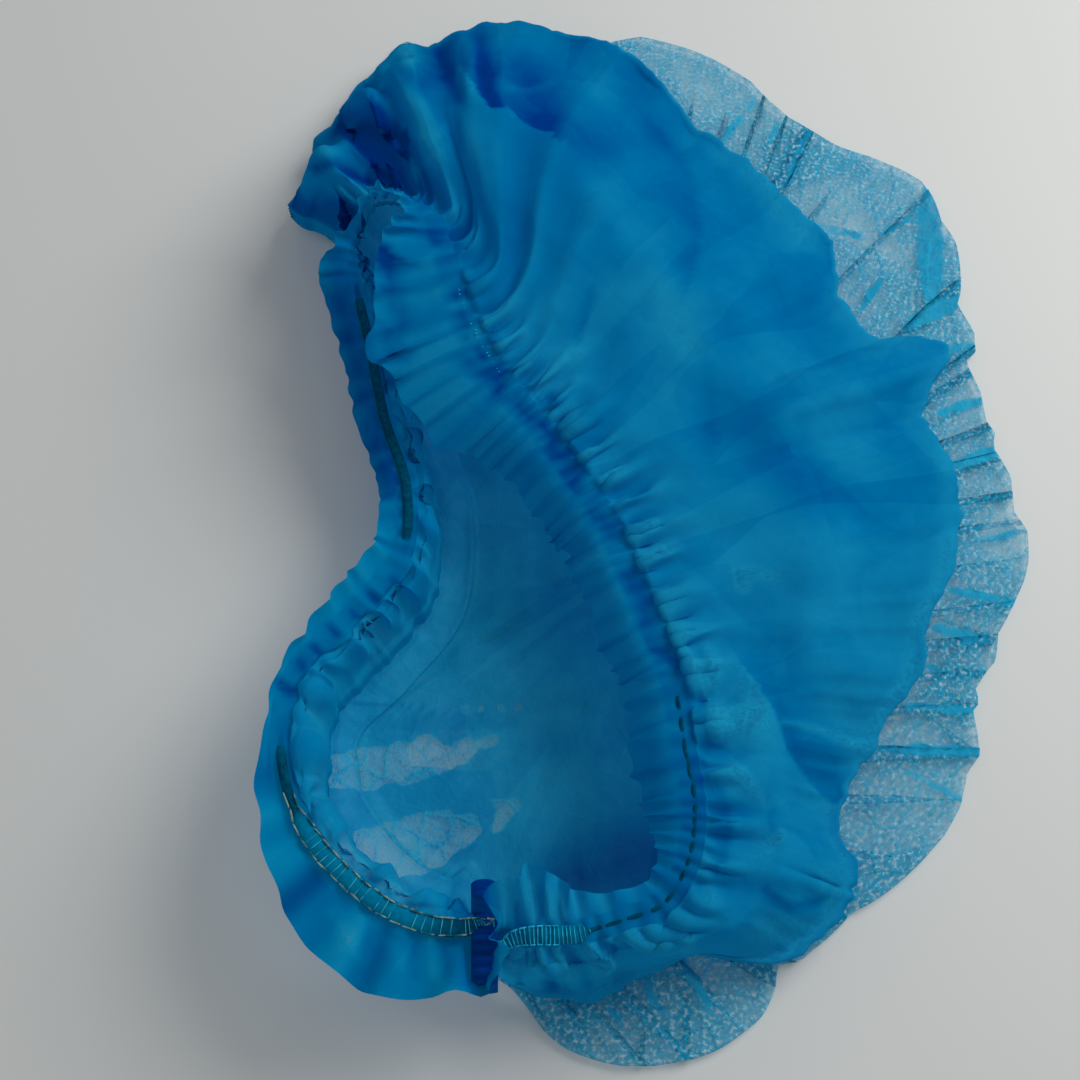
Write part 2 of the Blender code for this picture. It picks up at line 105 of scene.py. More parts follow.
# One section for each place round the mouth, clockwise from the seam as seen from above.
# x and tuck are shares of the width, y of the length and z of the height; angles in degrees.
SECTION_COLUMNS = (
    "name edge_x edge_y edge_z crest_z fold_x fold_y tuck rim_x rim_y turn lean frill ruck"
).split()
SECTIONS = (
    ("seam", -0.21, -0.41, 0.62, 0.44, -0.22, -0.43, 0.00, -0.20, -0.44, 270, 95, 0.7, 0.3),
    ("slot_left", -0.25, -0.41, 0.68, 0.62, -0.25, -0.385, 0.00, -0.24, -0.36, 205, 20, 0.8, 0.2),
    ("low_left", -0.31, -0.40, 0.72, 0.72, -0.29, -0.38, 0.00, -0.275, -0.355, 185, 5, 0.9, 0.1),
    ("low_corner", -0.38, -0.37, 0.74, 0.74, -0.355, -0.35, 0.00, -0.33, -0.33, 185, 10, 0.8, 0.1),
    ("left_bulge", -0.44, -0.32, 0.76, 0.76, -0.42, -0.305, 0.00, -0.38, -0.29, 185, 30, 0.45, 0.1),
    ("left_cheek", -0.46, -0.27, 0.76, 0.76, -0.425, -0.27, 0.00, -0.39, -0.265, 185, 75, 0.18, 0.1),
    ("left_corner", -0.45, -0.21, 0.70, 0.70, -0.42, -0.22, 0.00, -0.39, -0.235, 185, 85, 0.16, 0.1),
    ("waist_low", -0.39, -0.16, 0.62, 0.62, -0.36, -0.175, 0.00, -0.325, -0.19, 185, 60, 0.32, 0.1),
    ("waist", -0.33, -0.10, 0.56, 0.56, -0.295, -0.11, 0.00, -0.255, -0.12, 185, 40, 0.35, 0.1),
    ("waist_high", -0.33, -0.04, 0.54, 0.54, -0.295, -0.035, 0.00, -0.25, -0.03, 185, -30, 0.3, 0.1),
    ("neck_low", -0.36, 0.02, 0.54, 0.54, -0.325, 0.025, 0.00, -0.28, 0.03, 185, -50, 0.35, 0.1),
    ("neck", -0.38, 0.08, 0.60, 0.60, -0.345, 0.085, 0.00, -0.30, 0.09, 190, -50, 0.4, 0.1),
    ("neck_high", -0.40, 0.14, 0.70, 0.68, -0.37, 0.15, 0.00, -0.34, 0.155, 225, -20, 0.45, 0.2),
    ("tip_left", -0.40, 0.18, 0.78, 0.72, -0.45, 0.24, 0.00, -0.46, 0.25, 275, 90, 0.5, 0.6),
    ("tip", -0.38, 0.21, 0.82, 0.84, -0.47, 0.29, 0.01, -0.51, 0.30, 290, 100, 0.5, 0.9),
    ("tip_top", -0.34, 0.21, 0.84, 0.92, -0.44, 0.38, 0.01, -0.46, 0.40, 305, 110, 0.5, 1.0),
    ("pleat_a", -0.30, 0.19, 0.84, 0.96, -0.37, 0.43, 0.01, -0.39, 0.46, 325, 130, 0.6, 1.0),
    ("pleat_b", -0.28, 0.15, 0.84, 0.96, -0.26, 0.47, 0.01, -0.27, 0.50, 345, 160, 1.1, 0.9),
    ("top_crown", -0.25, 0.09, 0.82, 0.90, -0.08, 0.46, 0.02, -0.12, 0.50, 355, 178, 1.45, 0.5),
    ("top_right", -0.21, 0.04, 0.80, 0.82, 0.08, 0.37, 0.05, 0.08, 0.46, 355, 200, 1.25, 0.2),
    ("shoulder", -0.16, 0.00, 0.76, 0.76, 0.22, 0.27, 0.08, 0.28, 0.36, 355, 218, 0.9, 0.1),
    ("wing_top", -0.12, -0.04, 0.76, 0.72, 0.28, 0.17, 0.09, 0.43, 0.28, 355, 228, 0.8, 0.1),
    ("wing_high", -0.08, -0.08, 0.76, 0.68, 0.36, 0.08, 0.10, 0.455, 0.14, 355, 230, 0.8, 0.1),
    ("wing", -0.05, -0.13, 0.76, 0.66, 0.41, 0.00, 0.11, 0.49, 0.00, 355, 232, 0.8, 0.1),
    ("wing_low", -0.02, -0.18, 0.76, 0.66, 0.39, -0.10, 0.11, 0.50, -0.09, 355, 232, 0.8, 0.1),
    ("wing_foot", 0.00, -0.22, 0.76, 0.66, 0.34, -0.18, 0.10, 0.44, -0.18, 355, 232, 0.7, 0.1),
    ("bay", 0.01, -0.27, 0.76, 0.66, 0.28, -0.25, 0.10, 0.41, -0.25, 355, 232, 0.7, 0.1),
    ("bay_low", 0.02, -0.32, 0.76, 0.66, 0.22, -0.32, 0.07, 0.35, -0.32, 355, 225, 0.7, 0.1),
    ("heel", 0.01, -0.36, 0.74, 0.66, 0.23, -0.38, 0.04, 0.26, -0.39, 355, 215, 0.35, 0.1),
    ("heel_low", -0.02, -0.39, 0.70, 0.66, 0.12, -0.42, 0.03, 0.15, -0.43, 355, 200, 0.28, 0.2),
    ("lobe_right", -0.06, -0.40, 0.70, 0.62, 0.03, -0.42, 0.02, 0.11, -0.47, 350, 185, 0.28, 0.2),
    ("lobe", -0.12, -0.41, 0.68, 0.58, -0.08, -0.45, 0.02, 0.00, -0.50, 342, 165, 0.5, 0.3),
    ("lobe_left", -0.17, -0.41, 0.66, 0.56, -0.16, -0.45, 0.01, -0.13, -0.49, 330, 130, 0.8, 0.3),
)
FLOOR_MIDDLE = (0.03, -0.04)
CREST_SHARE = 0.45
SLOPE_SHARE = 0.6

# The cloth's outermost edge on the table, clockwise, as the photograph shows it in pixels
RIM_SEEN = (
    (310, 206), (322, 172), (326, 145), (350, 118), (378, 84), (398, 46), (410, 42), (430, 56), (470, 42),
    (500, 34), (560, 38), (608, 44),
    (640, 38), (691, 51), (722, 65), (750, 82), (768, 102), (785, 117), (808, 131), (838, 147),
    (870, 158), (900, 170), (921, 182), (941, 222), (956, 245), (960, 270), (960, 293), (957, 305),
    (974, 332), (975, 353), (964, 362), (980, 393), (986, 422), (994, 435), (992, 448), (1011, 479),
    (1013, 513), (1026, 531), (1024, 580), (1014, 603), (1004, 623), (991, 647), (997, 660),
    (974, 688), (979, 703), (972, 712), (979, 756), (967, 773), (959, 809), (944, 836), (924, 859),
    (900, 882), (876, 900), (852, 912), (826, 940), (800, 962), (778, 965), (775, 990), (740, 1035),
    (716, 1051), (690, 1060), (655, 1066), (620, 1066), (588, 1058), (560, 1045), (543, 1030),
    (530, 1010),
)
# Where the upper layer turns under, seen the same way
FOLD_SEEN = (
    (288, 203), (299, 190), (310, 176), (313, 164), (311, 148), (313, 133), (329, 122), (340, 105),
    (352, 88), (368, 71), (386, 57), (400, 42), (408, 38), (418, 51), (426, 44), (446, 34), (466, 27),
    (480, 21), (520, 18), (541, 24), (560, 28), (586, 34), (612, 42),
    (650, 66), (676, 99), (696, 125), (724, 143), (755, 161), (783, 189), (808, 219), (834, 240),
    (842, 293), (857, 314), (880, 338), (925, 332), (952, 340), (955, 356), (936, 378), (923, 410),
    (940, 439), (951, 456), (959, 479), (962, 515), (961, 548), (948, 580), (937, 601), (930, 625),
    (924, 668), (911, 690), (883, 727), (877, 747), (859, 768), (848, 796), (838, 818), (850, 848),
    (857, 864), (852, 890), (826, 930), (800, 956), (772, 964), (744, 962), (700, 953), (681, 960),
    (657, 971), (620, 986), (596, 1000), (570, 997), (533, 995),
)


def unit(vectors):
    """The vectors at length 1, where a zero vector stays as it is."""
    lengths = np.linalg.norm(vectors, axis=-1, keepdims=True)
    return vectors / np.where(lengths > 0, lengths, 1.0)


def smooth_step(value, low, high):
    """0 below low, 1 above high, and a soft rise between."""
    share = np.clip((value - low) / (high - low), 0.0, 1.0)
    return share * share * (3 - 2 * share)


def closed_curve(values, knots, span, at):
    """A smooth closed curve through the values at their knots, read at other places."""
    count = len(values)
    at = np.mod(at, span)
    here = np.searchsorted(knots, at, side="right") - 1
    following = (here + 1) % count
    width = np.diff(np.append(knots, span))
    slopes = (np.roll(values, -1) - values) / width
    before = np.roll(width, 1)
    tangents = (np.roll(slopes, 1) * width + slopes * before) / (before + width)
    step = (at - knots[here]) / width[here]
    rise = width[here]
    return (
        (2 * step**3 - 3 * step**2 + 1) * values[here]
        + (step**3 - 2 * step**2 + step) * rise * tangents[here]
        + (3 * step**2 - 2 * step**3) * values[following]
        + (step**3 - step**2) * rise * tangents[following]
    )


def hermite(start, leave, end, arrive, share):
    """The point at this share of a smooth run from start to end."""
    return (
        (2 * share**3 - 3 * share**2 + 1) * start
        + (share**3 - 2 * share**2 + share) * leave
        + (3 * share**2 - 2 * share**3) * end
        + (share**3 - share**2) * arrive
    )


def patchy(points, cell, seed):
    """Smooth noise from -1 to 1 over a plane, with patches about one cell wide."""
    lattice = np.random.default_rng(seed).uniform(-1, 1, (97, 97))
    at = points[..., :2] / cell
    low = np.floor(at).astype(int)
    step = at - low
    step = step * step * (3 - 2 * step)
    x, y = low[..., 0] % 97, low[..., 1] % 97
    right, above = (x + 1) % 97, (y + 1) % 97
    bottom = lattice[x, y] * (1 - step[..., 0]) + lattice[right, y] * step[..., 0]
    top = lattice[x, above] * (1 - step[..., 0]) + lattice[right, above] * step[..., 0]
    return bottom * (1 - step[..., 1]) + top * step[..., 1]


def ridged(points, cell, seed):
    """Sharp creases between soft dents, from 0 to 1, at two sizes."""
    turned = points[..., :2] @ np.array([[0.8, 0.6], [-0.6, 0.8]])
    coarse = 1 - np.abs(patchy(points, cell, seed)) * 2
    fine = 1 - np.abs(patchy(turned, cell * 0.47, seed + 1)) * 2
    return np.clip(0.65 * coarse + 0.35 * fine, -1, 1)


def seen_at(pixels, height):
    """Points at this height above the table that the photograph shows at these pixels."""
    pixels = np.asarray(pixels, float)
    forward = unit(TARGET - CAMERA)
    right = np.array([1.0, 0.0, 0.0])
    above = np.cross(right, forward)
    half = PHOTO_SIDE / 2
    reach = SENSOR / 2 / LENS
    ways = (
        forward
        + (pixels[:, :1] - half) / half * reach * right
        + (half - pixels[:, 1:]) / half * reach * above
    )
    return CAMERA + ways * ((height - CAMERA[2]) / ways[:, 2:])


def pixels_of(points):
    """Where the photograph shows these points."""
    forward = unit(TARGET - CAMERA)
    right = np.array([1.0, 0.0, 0.0])
    above = np.cross(right, forward)
    ways = points - CAMERA
    scale = PHOTO_SIDE / 2 / (SENSOR / 2 / LENS) / (ways @ forward)
    half = PHOTO_SIDE / 2
    return np.stack([half + (ways @ right) * scale, half - (ways @ above) * scale], -1)


class Mouth:
    """The table of sections as smooth curves round the mouth."""

    def __init__(self):
        sizes = {"x": CAP_WIDTH, "y": CAP_LENGTH, "z": CAP_HEIGHT, "tuck": CAP_WIDTH}
        self.values = {}
        for place, name in enumerate(SECTION_COLUMNS[1:], start=1):
            size = sizes.get(name.split("_")[-1], 1.0)
            self.values[name] = size * np.array([row[place] for row in SECTIONS])
        edge = np.stack([self.values["edge_" + axis] for axis in "xyz"], 1)
        rim = np.stack([self.values["rim_x"], self.values["rim_y"]], 1)
        steps = np.linalg.norm(np.roll(edge, -1, 0) - edge, axis=1)
        rim_steps = np.linalg.norm(np.roll(rim, -1, 0) - rim, axis=1)
        self.span = steps.sum()
        self.knots = np.append(0.0, np.cumsum(steps)[:-1])
        ends = np.append(0.0, np.cumsum(steps + rim_steps))
        self.shares = np.arange(SAMPLES) / SAMPLES
        self.at = np.interp(self.shares, ends / ends[-1], np.append(self.knots, self.span))
        self.shift = np.zeros(3)
        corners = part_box("elastic_band")
        middle = (np.array(corners[0]) + np.array(corners[1])) / 2
        half = self.direction("turn")[0] * ELASTIC_WIDTH / 2
        both = np.concatenate([self.edge() + half, self.edge() - half])
        own = (both.min(0) + both.max(0)) / 2
        self.shift = (middle - own) * FLAT

    def read(self, name):
        return closed_curve(self.values[name], self.knots, self.span, self.at)

    def edge(self):
        return np.stack([self.read("edge_" + axis) for axis in "xyz"], 1) + self.shift

    def share_at(self, pixel):
        """How far round the mouth the elastic passes this pixel of the photograph."""
        seen = pixels_of(self.edge())
        return np.linalg.norm(seen - np.array(pixel), axis=1).argmin() / SAMPLES

    def between(self, first, last, blend=0.008):
        """1 at the stations from one pixel clockwise to another, and a soft fall outside."""
        start, end = self.share_at(first), self.share_at(last)
        stations = np.arange(STATIONS) / STATIONS
        reach = (end - start) % 1.0
        middle = start + reach / 2
        away = np.abs((stations - middle + 0.5) % 1.0 - 0.5)
        return 1 - smooth_step(away, reach / 2 - blend, reach / 2 + blend)

    def place(self, name, level):
        flat = np.stack([self.read(name + "_x"), self.read(name + "_y")], 1)
        return np.column_stack([flat, np.full(len(flat), level)]) + self.shift

    def direction(self, name):
        """The way that the bag or the frill leaves the elastic, square to the elastic."""
        edge = self.edge()
        along = unit(np.roll(edge, -2, 0) - np.roll(edge, 2, 0))
        outward = unit(np.cross(UP, along))
        angle = np.radians(self.read(name))[:, None]
        way = np.cos(angle) * outward + np.sin(angle) * UP
        way -= (way * along).sum(1, keepdims=True) * along
        return unit(way), along


def fitted(curve, seen, height):
    """The curve moved onto the line that the photograph shows, where it shows one."""
    points = seen_at(seen, height)
    away = np.linalg.norm(curve[:, None, :2] - points[None, :, :2], axis=2)
    places = away.argmin(0)
    order = np.argsort(places, kind="stable")
    places, points = places[order], points[order]
    keep = np.append(True, np.diff(places) > 0)
    places, points = places[keep], points[keep]
    offsets = points[:, :2] - curve[places, :2]
    samples = np.arange(len(curve))
    moved = np.stack([np.interp(samples, places, offsets[:, axis]) for axis in range(2)], 1)
    first, last = places[0], places[-1]
    fade = 24
    near = np.minimum(samples - (first - fade), (last + fade) - samples) / fade
    moved *= smooth_step(near, 0.0, 1.0)[:, None]
    result = curve.copy()
    result[:, :2] += moved
    return result


def inside_by(points, outline):
    """How far inside a closed outline each point lies, negative outside it."""
    starts, ends = outline, np.roll(outline, -1, 0)
    runs = ends - starts
    depth = np.empty(len(points))
    for low in range(0, len(points), 4000):
        part = points[low : low + 4000, None, :]
        share = ((part - starts) * runs).sum(2) / np.maximum((runs * runs).sum(1), 1e-12)
        nearest = starts + np.clip(share, 0, 1)[..., None] * runs
        away = np.linalg.norm(part - nearest, axis=2).min(1)
        above = (starts[:, 1] > part[..., 1]) != (ends[:, 1] > part[..., 1])
        rise = np.where(runs[:, 1] == 0, 1e-12, runs[:, 1])
        cross = starts[:, 0] + (part[..., 1] - starts[:, 1]) / rise * runs[:, 0]
        odd = (above & (part[..., 0] < cross)).sum(1) % 2 == 1
        depth[low : low + 4000] = np.where(odd, away, -away)
    return depth


def arc(centre, reach, drop, steps, outward):
    """Half a turn from the top of a fold to its underside, as rows."""
    rows = []
    for angle in np.linspace(0, math.pi, steps + 2)[1:-1]:
        rows.append(centre + outward * reach * math.sin(angle) + UP * drop * math.cos(angle))
    return rows


def at_height(points, height):
    return np.column_stack([points[:, :2], np.broadcast_to(height, len(points))])


def bag_profile(mouth):
    """The cap's cloth before its gathers: rows from the free hem to the middle of the floor.

    It returns the rows, the part of the cloth that each row is in and its share of that part.
    """
    way, _ = mouth.direction("turn")
    lean, _ = mouth.direction("lean")
    edge = mouth.edge()
    turn = mouth.shares * 2 * math.pi
    wander = patchy(np.stack([np.cos(turn), np.sin(turn)], 1) * 11.0, 1.0, 12)
    width = FRILL_WIDTH * (mouth.read("frill") * (1 + 0.16 * wander))[:, None]
    hem_start = edge - way * ELASTIC_WIDTH / 2
    hem_end = hem_start + unit(lean - way) * width / 2 + lean * width / 2
    start = edge + way * ELASTIC_WIDTH / 2

    fold = fitted(mouth.place("fold", UPPER_LEVEL), FOLD_SEEN, UPPER_LEVEL)
    outward = unit((fold - start) * FLAT)
    circle = np.stack([np.cos(turn), np.sin(turn)], 1)
    ragged = 0.0009 * patchy(circle * 30.0, 1.0, 13) + 0.0005 * patchy(circle * 75.0, 1.0, 14)
    fold = fold + outward * ragged[:, None]
    tuck = np.maximum(mouth.read("tuck"), 0.0)[:, None]
    reach = np.minimum(HAIRPIN_REACH, tuck)
    fold_top = fold - outward * reach
    level = unit(outward * reach - UP * (HAIRPIN_REACH - reach))
    crest = start + CREST_SHARE * (fold_top - start)
    crest[:, 2] = mouth.read("crest_z")
    back = unit((fold_top - start) * FLAT)
    lip_run = np.linalg.norm(crest - start, axis=1, keepdims=True)
    slope_run = SLOPE_SHARE * np.linalg.norm(fold_top - crest, axis=1, keepdims=True)

    tucked = fold - outward * tuck
    rim = fitted(mouth.place("rim", 0.0), RIM_SEEN, RIM_LEVEL / 2)
    rim_out = unit((rim - fold) * FLAT)
    rim_gap = (RIM_LEVEL - FLOOR_LEVEL) / 2
    rim_top = at_height(rim - rim_out * rim_gap, RIM_LEVEL)
    foot = at_height(rim - rim_out * rim_gap, FLOOR_LEVEL)
    middle = np.array([FLOOR_MIDDLE[0] * CAP_WIDTH, FLOOR_MIDDLE[1] * CAP_LENGTH, FLOOR_LEVEL])
    middle = middle + mouth.shift

    rows, parts, shares = [], [], []

    def add(part, row, share):
        rows.append(row)
        parts.append(part)
        shares.append(share)

    for share in np.linspace(1.0, 0.0, 9)[:-1]:
        add("frill", hermite(hem_start, -way * width, hem_end, lean * width, share), share)
    for share in np.linspace(0.0, 1.0, 4):
        add("hem", hem_start + (start - hem_start) * share, share)
    lip_shares = np.linspace(0.0, 1.0, 27)[1:] ** 1.35
    for share in lip_shares:
        add("lip", hermite(start, way * lip_run, crest, back * lip_run, share), share)
    for share in np.linspace(0.0, 1.0, 25)[1:]:
        add("slope", hermite(crest, back * slope_run, fold_top, level * slope_run, share), share)
    half_gap = (UPPER_LEVEL - RETURN_LEVEL) / 2
    turn_one = at_height(fold_top, UPPER_LEVEL - half_gap)
    for row in arc(turn_one, reach, half_gap, 5, outward):
        add("turn", row, 0.5)
    back_end = tucked + outward * reach
    for share in np.linspace(0.0, 1.0, 6):
        add("return", at_height(fold_top + (back_end - fold_top) * share, RETURN_LEVEL), share)
    half_gap = (RETURN_LEVEL - MARGIN_LEVEL) / 2
    turn_two = at_height(back_end, RETURN_LEVEL - half_gap)
    for row in arc(turn_two, reach, half_gap, 3, -outward):
        add("inner", row, 0.5)
    for share in np.linspace(0.0, 1.0, 24):
        height = MARGIN_LEVEL + (RIM_LEVEL - MARGIN_LEVEL) * smooth_step(share, 0.2, 1.0)
        add("margin", at_height(back_end + (rim_top - back_end) * share, height), share)
    turn_three = at_height(rim_top, FLOOR_LEVEL + rim_gap)
    for row in arc(turn_three, rim_gap, rim_gap, 4, rim_out):
        add("rim", row, 0.5)
    for share in np.linspace(0.0, 0.985, 30) ** 0.9:
        add("floor", foot + (middle - foot) * share, share)
    return np.stack(rows), parts, np.array(shares), middle


def grid_normals(grid):
    """Which way the cloth faces at each point of its rows."""
    down = np.concatenate([grid[1:], grid[-1:]]) - np.concatenate([grid[:1], grid[:-1]])
    along = np.roll(grid, -1, 1) - np.roll(grid, 1, 1)
    return unit(np.cross(along, down))


def resampled(row, shares):
    """A closed row read at other shares of the way round."""
    at = np.mod(shares, 1.0) * SAMPLES
    low = np.floor(at).astype(int)
    step = (at - low)[:, None]
    return row[low % SAMPLES] * (1 - step) + row[(low + 1) % SAMPLES] * step


# Pleats pressed across the margin, from the fold out to the rim: where the photograph shows
# the outer end, and how wide each is there and at the fold, in millimetres
MARGIN_PLEATS = (
    ((757, 98), 2.0, 4.5), ((784, 117), 2.5, 5.0), ((808, 131), 4.5, 6.0), ((735, 75), 0.5, 2.5),
    ((700, 56), 0.5, 2.5), ((858, 153), 0.5, 3.0), ((920, 195), 2.0, 3.0), ((958, 282), 5.0, 4.0),
    ((974, 343), 5.0, 6.0), ((972, 372), 3.0, 4.5), ((986, 425), 3.0, 4.0), ((1000, 455), 3.0, 4.0),
    ((1011, 495), 2.5, 3.5), ((1022, 522), 2.0, 3.5), ((1025, 556), 1.5, 3.0),
    ((1014, 603), 2.0, 3.5), ((995, 640), 4.0, 4.5), ((986, 674), 3.0, 4.0), ((975, 708), 3.0, 4.0),
    ((976, 752), 3.0, 5.0), ((962, 800), 1.5, 3.0), ((924, 859), 1.0, 3.0), ((885, 893), 1.0, 3.0),
    ((845, 918), 3.0, 4.0), ((800, 962), 4.0, 5.0), ((776, 980), 4.0, 4.0), ((745, 1030), 1.0, 4.0),
    ((690, 1060), 3.0, 5.0), ((645, 1066), 2.0, 3.5), ((600, 1062), 1.0, 3.5),
    ((552, 1038), 1.0, 3.0),
)


def pleat_table(mouth, rim):
    """Every pleat: its place round the mouth, and its width at the rim and at the fold."""
    chosen = []
    for seen, rim_width, fold_width in MARGIN_PLEATS:
        point = seen_at([seen], RIM_LEVEL)[0]
        place = np.linalg.norm(rim[:, :2] - point[:2], axis=1).argmin() / SAMPLES
        chosen.append((place, rim_width / 1000, fold_width / 1000))
    random = np.random.default_rng(41)
    taken = [pleat[0] for pleat in chosen]
    near = mouth.between((487, 932), (345, 235))
    count = HIDDEN_PLEATS
    for place in (np.arange(count) + random.uniform(-0.3, 0.3, count)) / count:
        gap = min(abs((place - other + 0.5) % 1.0 - 0.5) for other in taken)
        if gap < PLEAT_GAP or near[int(place * STATIONS) % STATIONS] > 0.5:
            continue
        taken.append(place)
        chosen.append((place, 0.0, random.uniform(*HIDDEN_PLEAT_WIDTH)))
    return sorted(chosen)


def folded_cloth(mouth):
    """The cap's cloth with its pleats, as a grid of points."""
    base, parts, shares, middle = bag_profile(mouth)
    count = len(parts)
    parts = np.array(parts)
    rim_row = np.flatnonzero(parts == "rim")[1]
    turn_rows = np.flatnonzero(parts == "turn")
    stations = np.arange(STATIONS) / STATIONS
    steps = np.linalg.norm(np.roll(base, -1, 1) - base, axis=2) * SAMPLES
    pleats = pleat_table(mouth, base[rim_row])

    grid = np.empty((count, STATIONS, 3))
    lift = np.zeros((count, STATIONS))
    zig = (np.array([-1, -0.45, -0.2, 0.2, 0.45, 0.75, 1]), np.array([0, 0, 1, 1, 2, 1.2, 0]))
    extent = PLEAT_REACH / STATIONS
    for row in range(count):
        moved = stations.copy()
        part, share = parts[row], shares[row]
        for place, rim_width, fold_width in pleats:
            if part == "margin":
                width = fold_width + (rim_width - fold_width) * smooth_step(share, 0.2, 1.0)
            elif part == "turn":
                width = fold_width * smooth_step((row - turn_rows[0]) / len(turn_rows), 0.2, 1.0)
            elif part in ("return", "inner"):
                width = fold_width
            elif part == "rim":
                width = rim_width
            elif part == "floor":
                width = rim_width * (1 - smooth_step(share, 0.0, 0.25))
            else:
                width = 0.0
            offset = (stations - place + 0.5) % 1.0 - 0.5
            near = np.abs(offset) < extent
            if width <= 0 or not near.any():
                continue
            stretch = np.interp(place, np.arange(SAMPLES) / SAMPLES, steps[row])
            overlap = min(width / stretch / 2 / extent, 0.95)
            strength = min(width / 0.002, 1.0)
            peak = -1 / 3 + (overlap + 1 / 3) * strength
            knots = np.array([-1, -1 / 3, 1 / 3, 1])
            places = np.array([-1, peak, -peak, 1])
            x = offset[near] / extent
            moved[near] = place + np.interp(x, knots, places) * extent
            lift[row, near] += np.interp(x, *zig) * PLY * strength
        grid[row] = resampled(base[row], moved)
    normals = grid_normals(grid)
    flat_parts = np.isin(parts, ("turn", "return", "inner", "margin", "rim"))
    grid[flat_parts] += UP * lift[flat_parts][..., None]
    return grid, parts, shares, normals, middle


# Darker and lighter places on the floor and the margin, the darker ones largely painted shade where the
# raised walls shade the floor inside the mouth: middle and half sizes in pixels, and shade
FLOOR_TONES_AND_PAINTED_SHADE = (
    (640, 855, 62, 42, 0.95), (575, 880, 45, 22, 0.75), (565, 748, 55, 15, 0.35),
    (435, 583, 45, 20, -0.22), (630, 755, 36, 24, -0.15), (560, 625, 50, 35, 0.22),
    (480, 655, 60, 30, -0.10), (500, 850, 60, 12, 0.20), (345, 700, 30, 20, 0.20),
    (300, 790, 24, 60, 0.30), (440, 390, 40, 60, 0.10), (600, 650, 40, 60, 0.35),
    (645, 730, 40, 50, 0.25), (540, 560, 30, 50, 0.25),
)


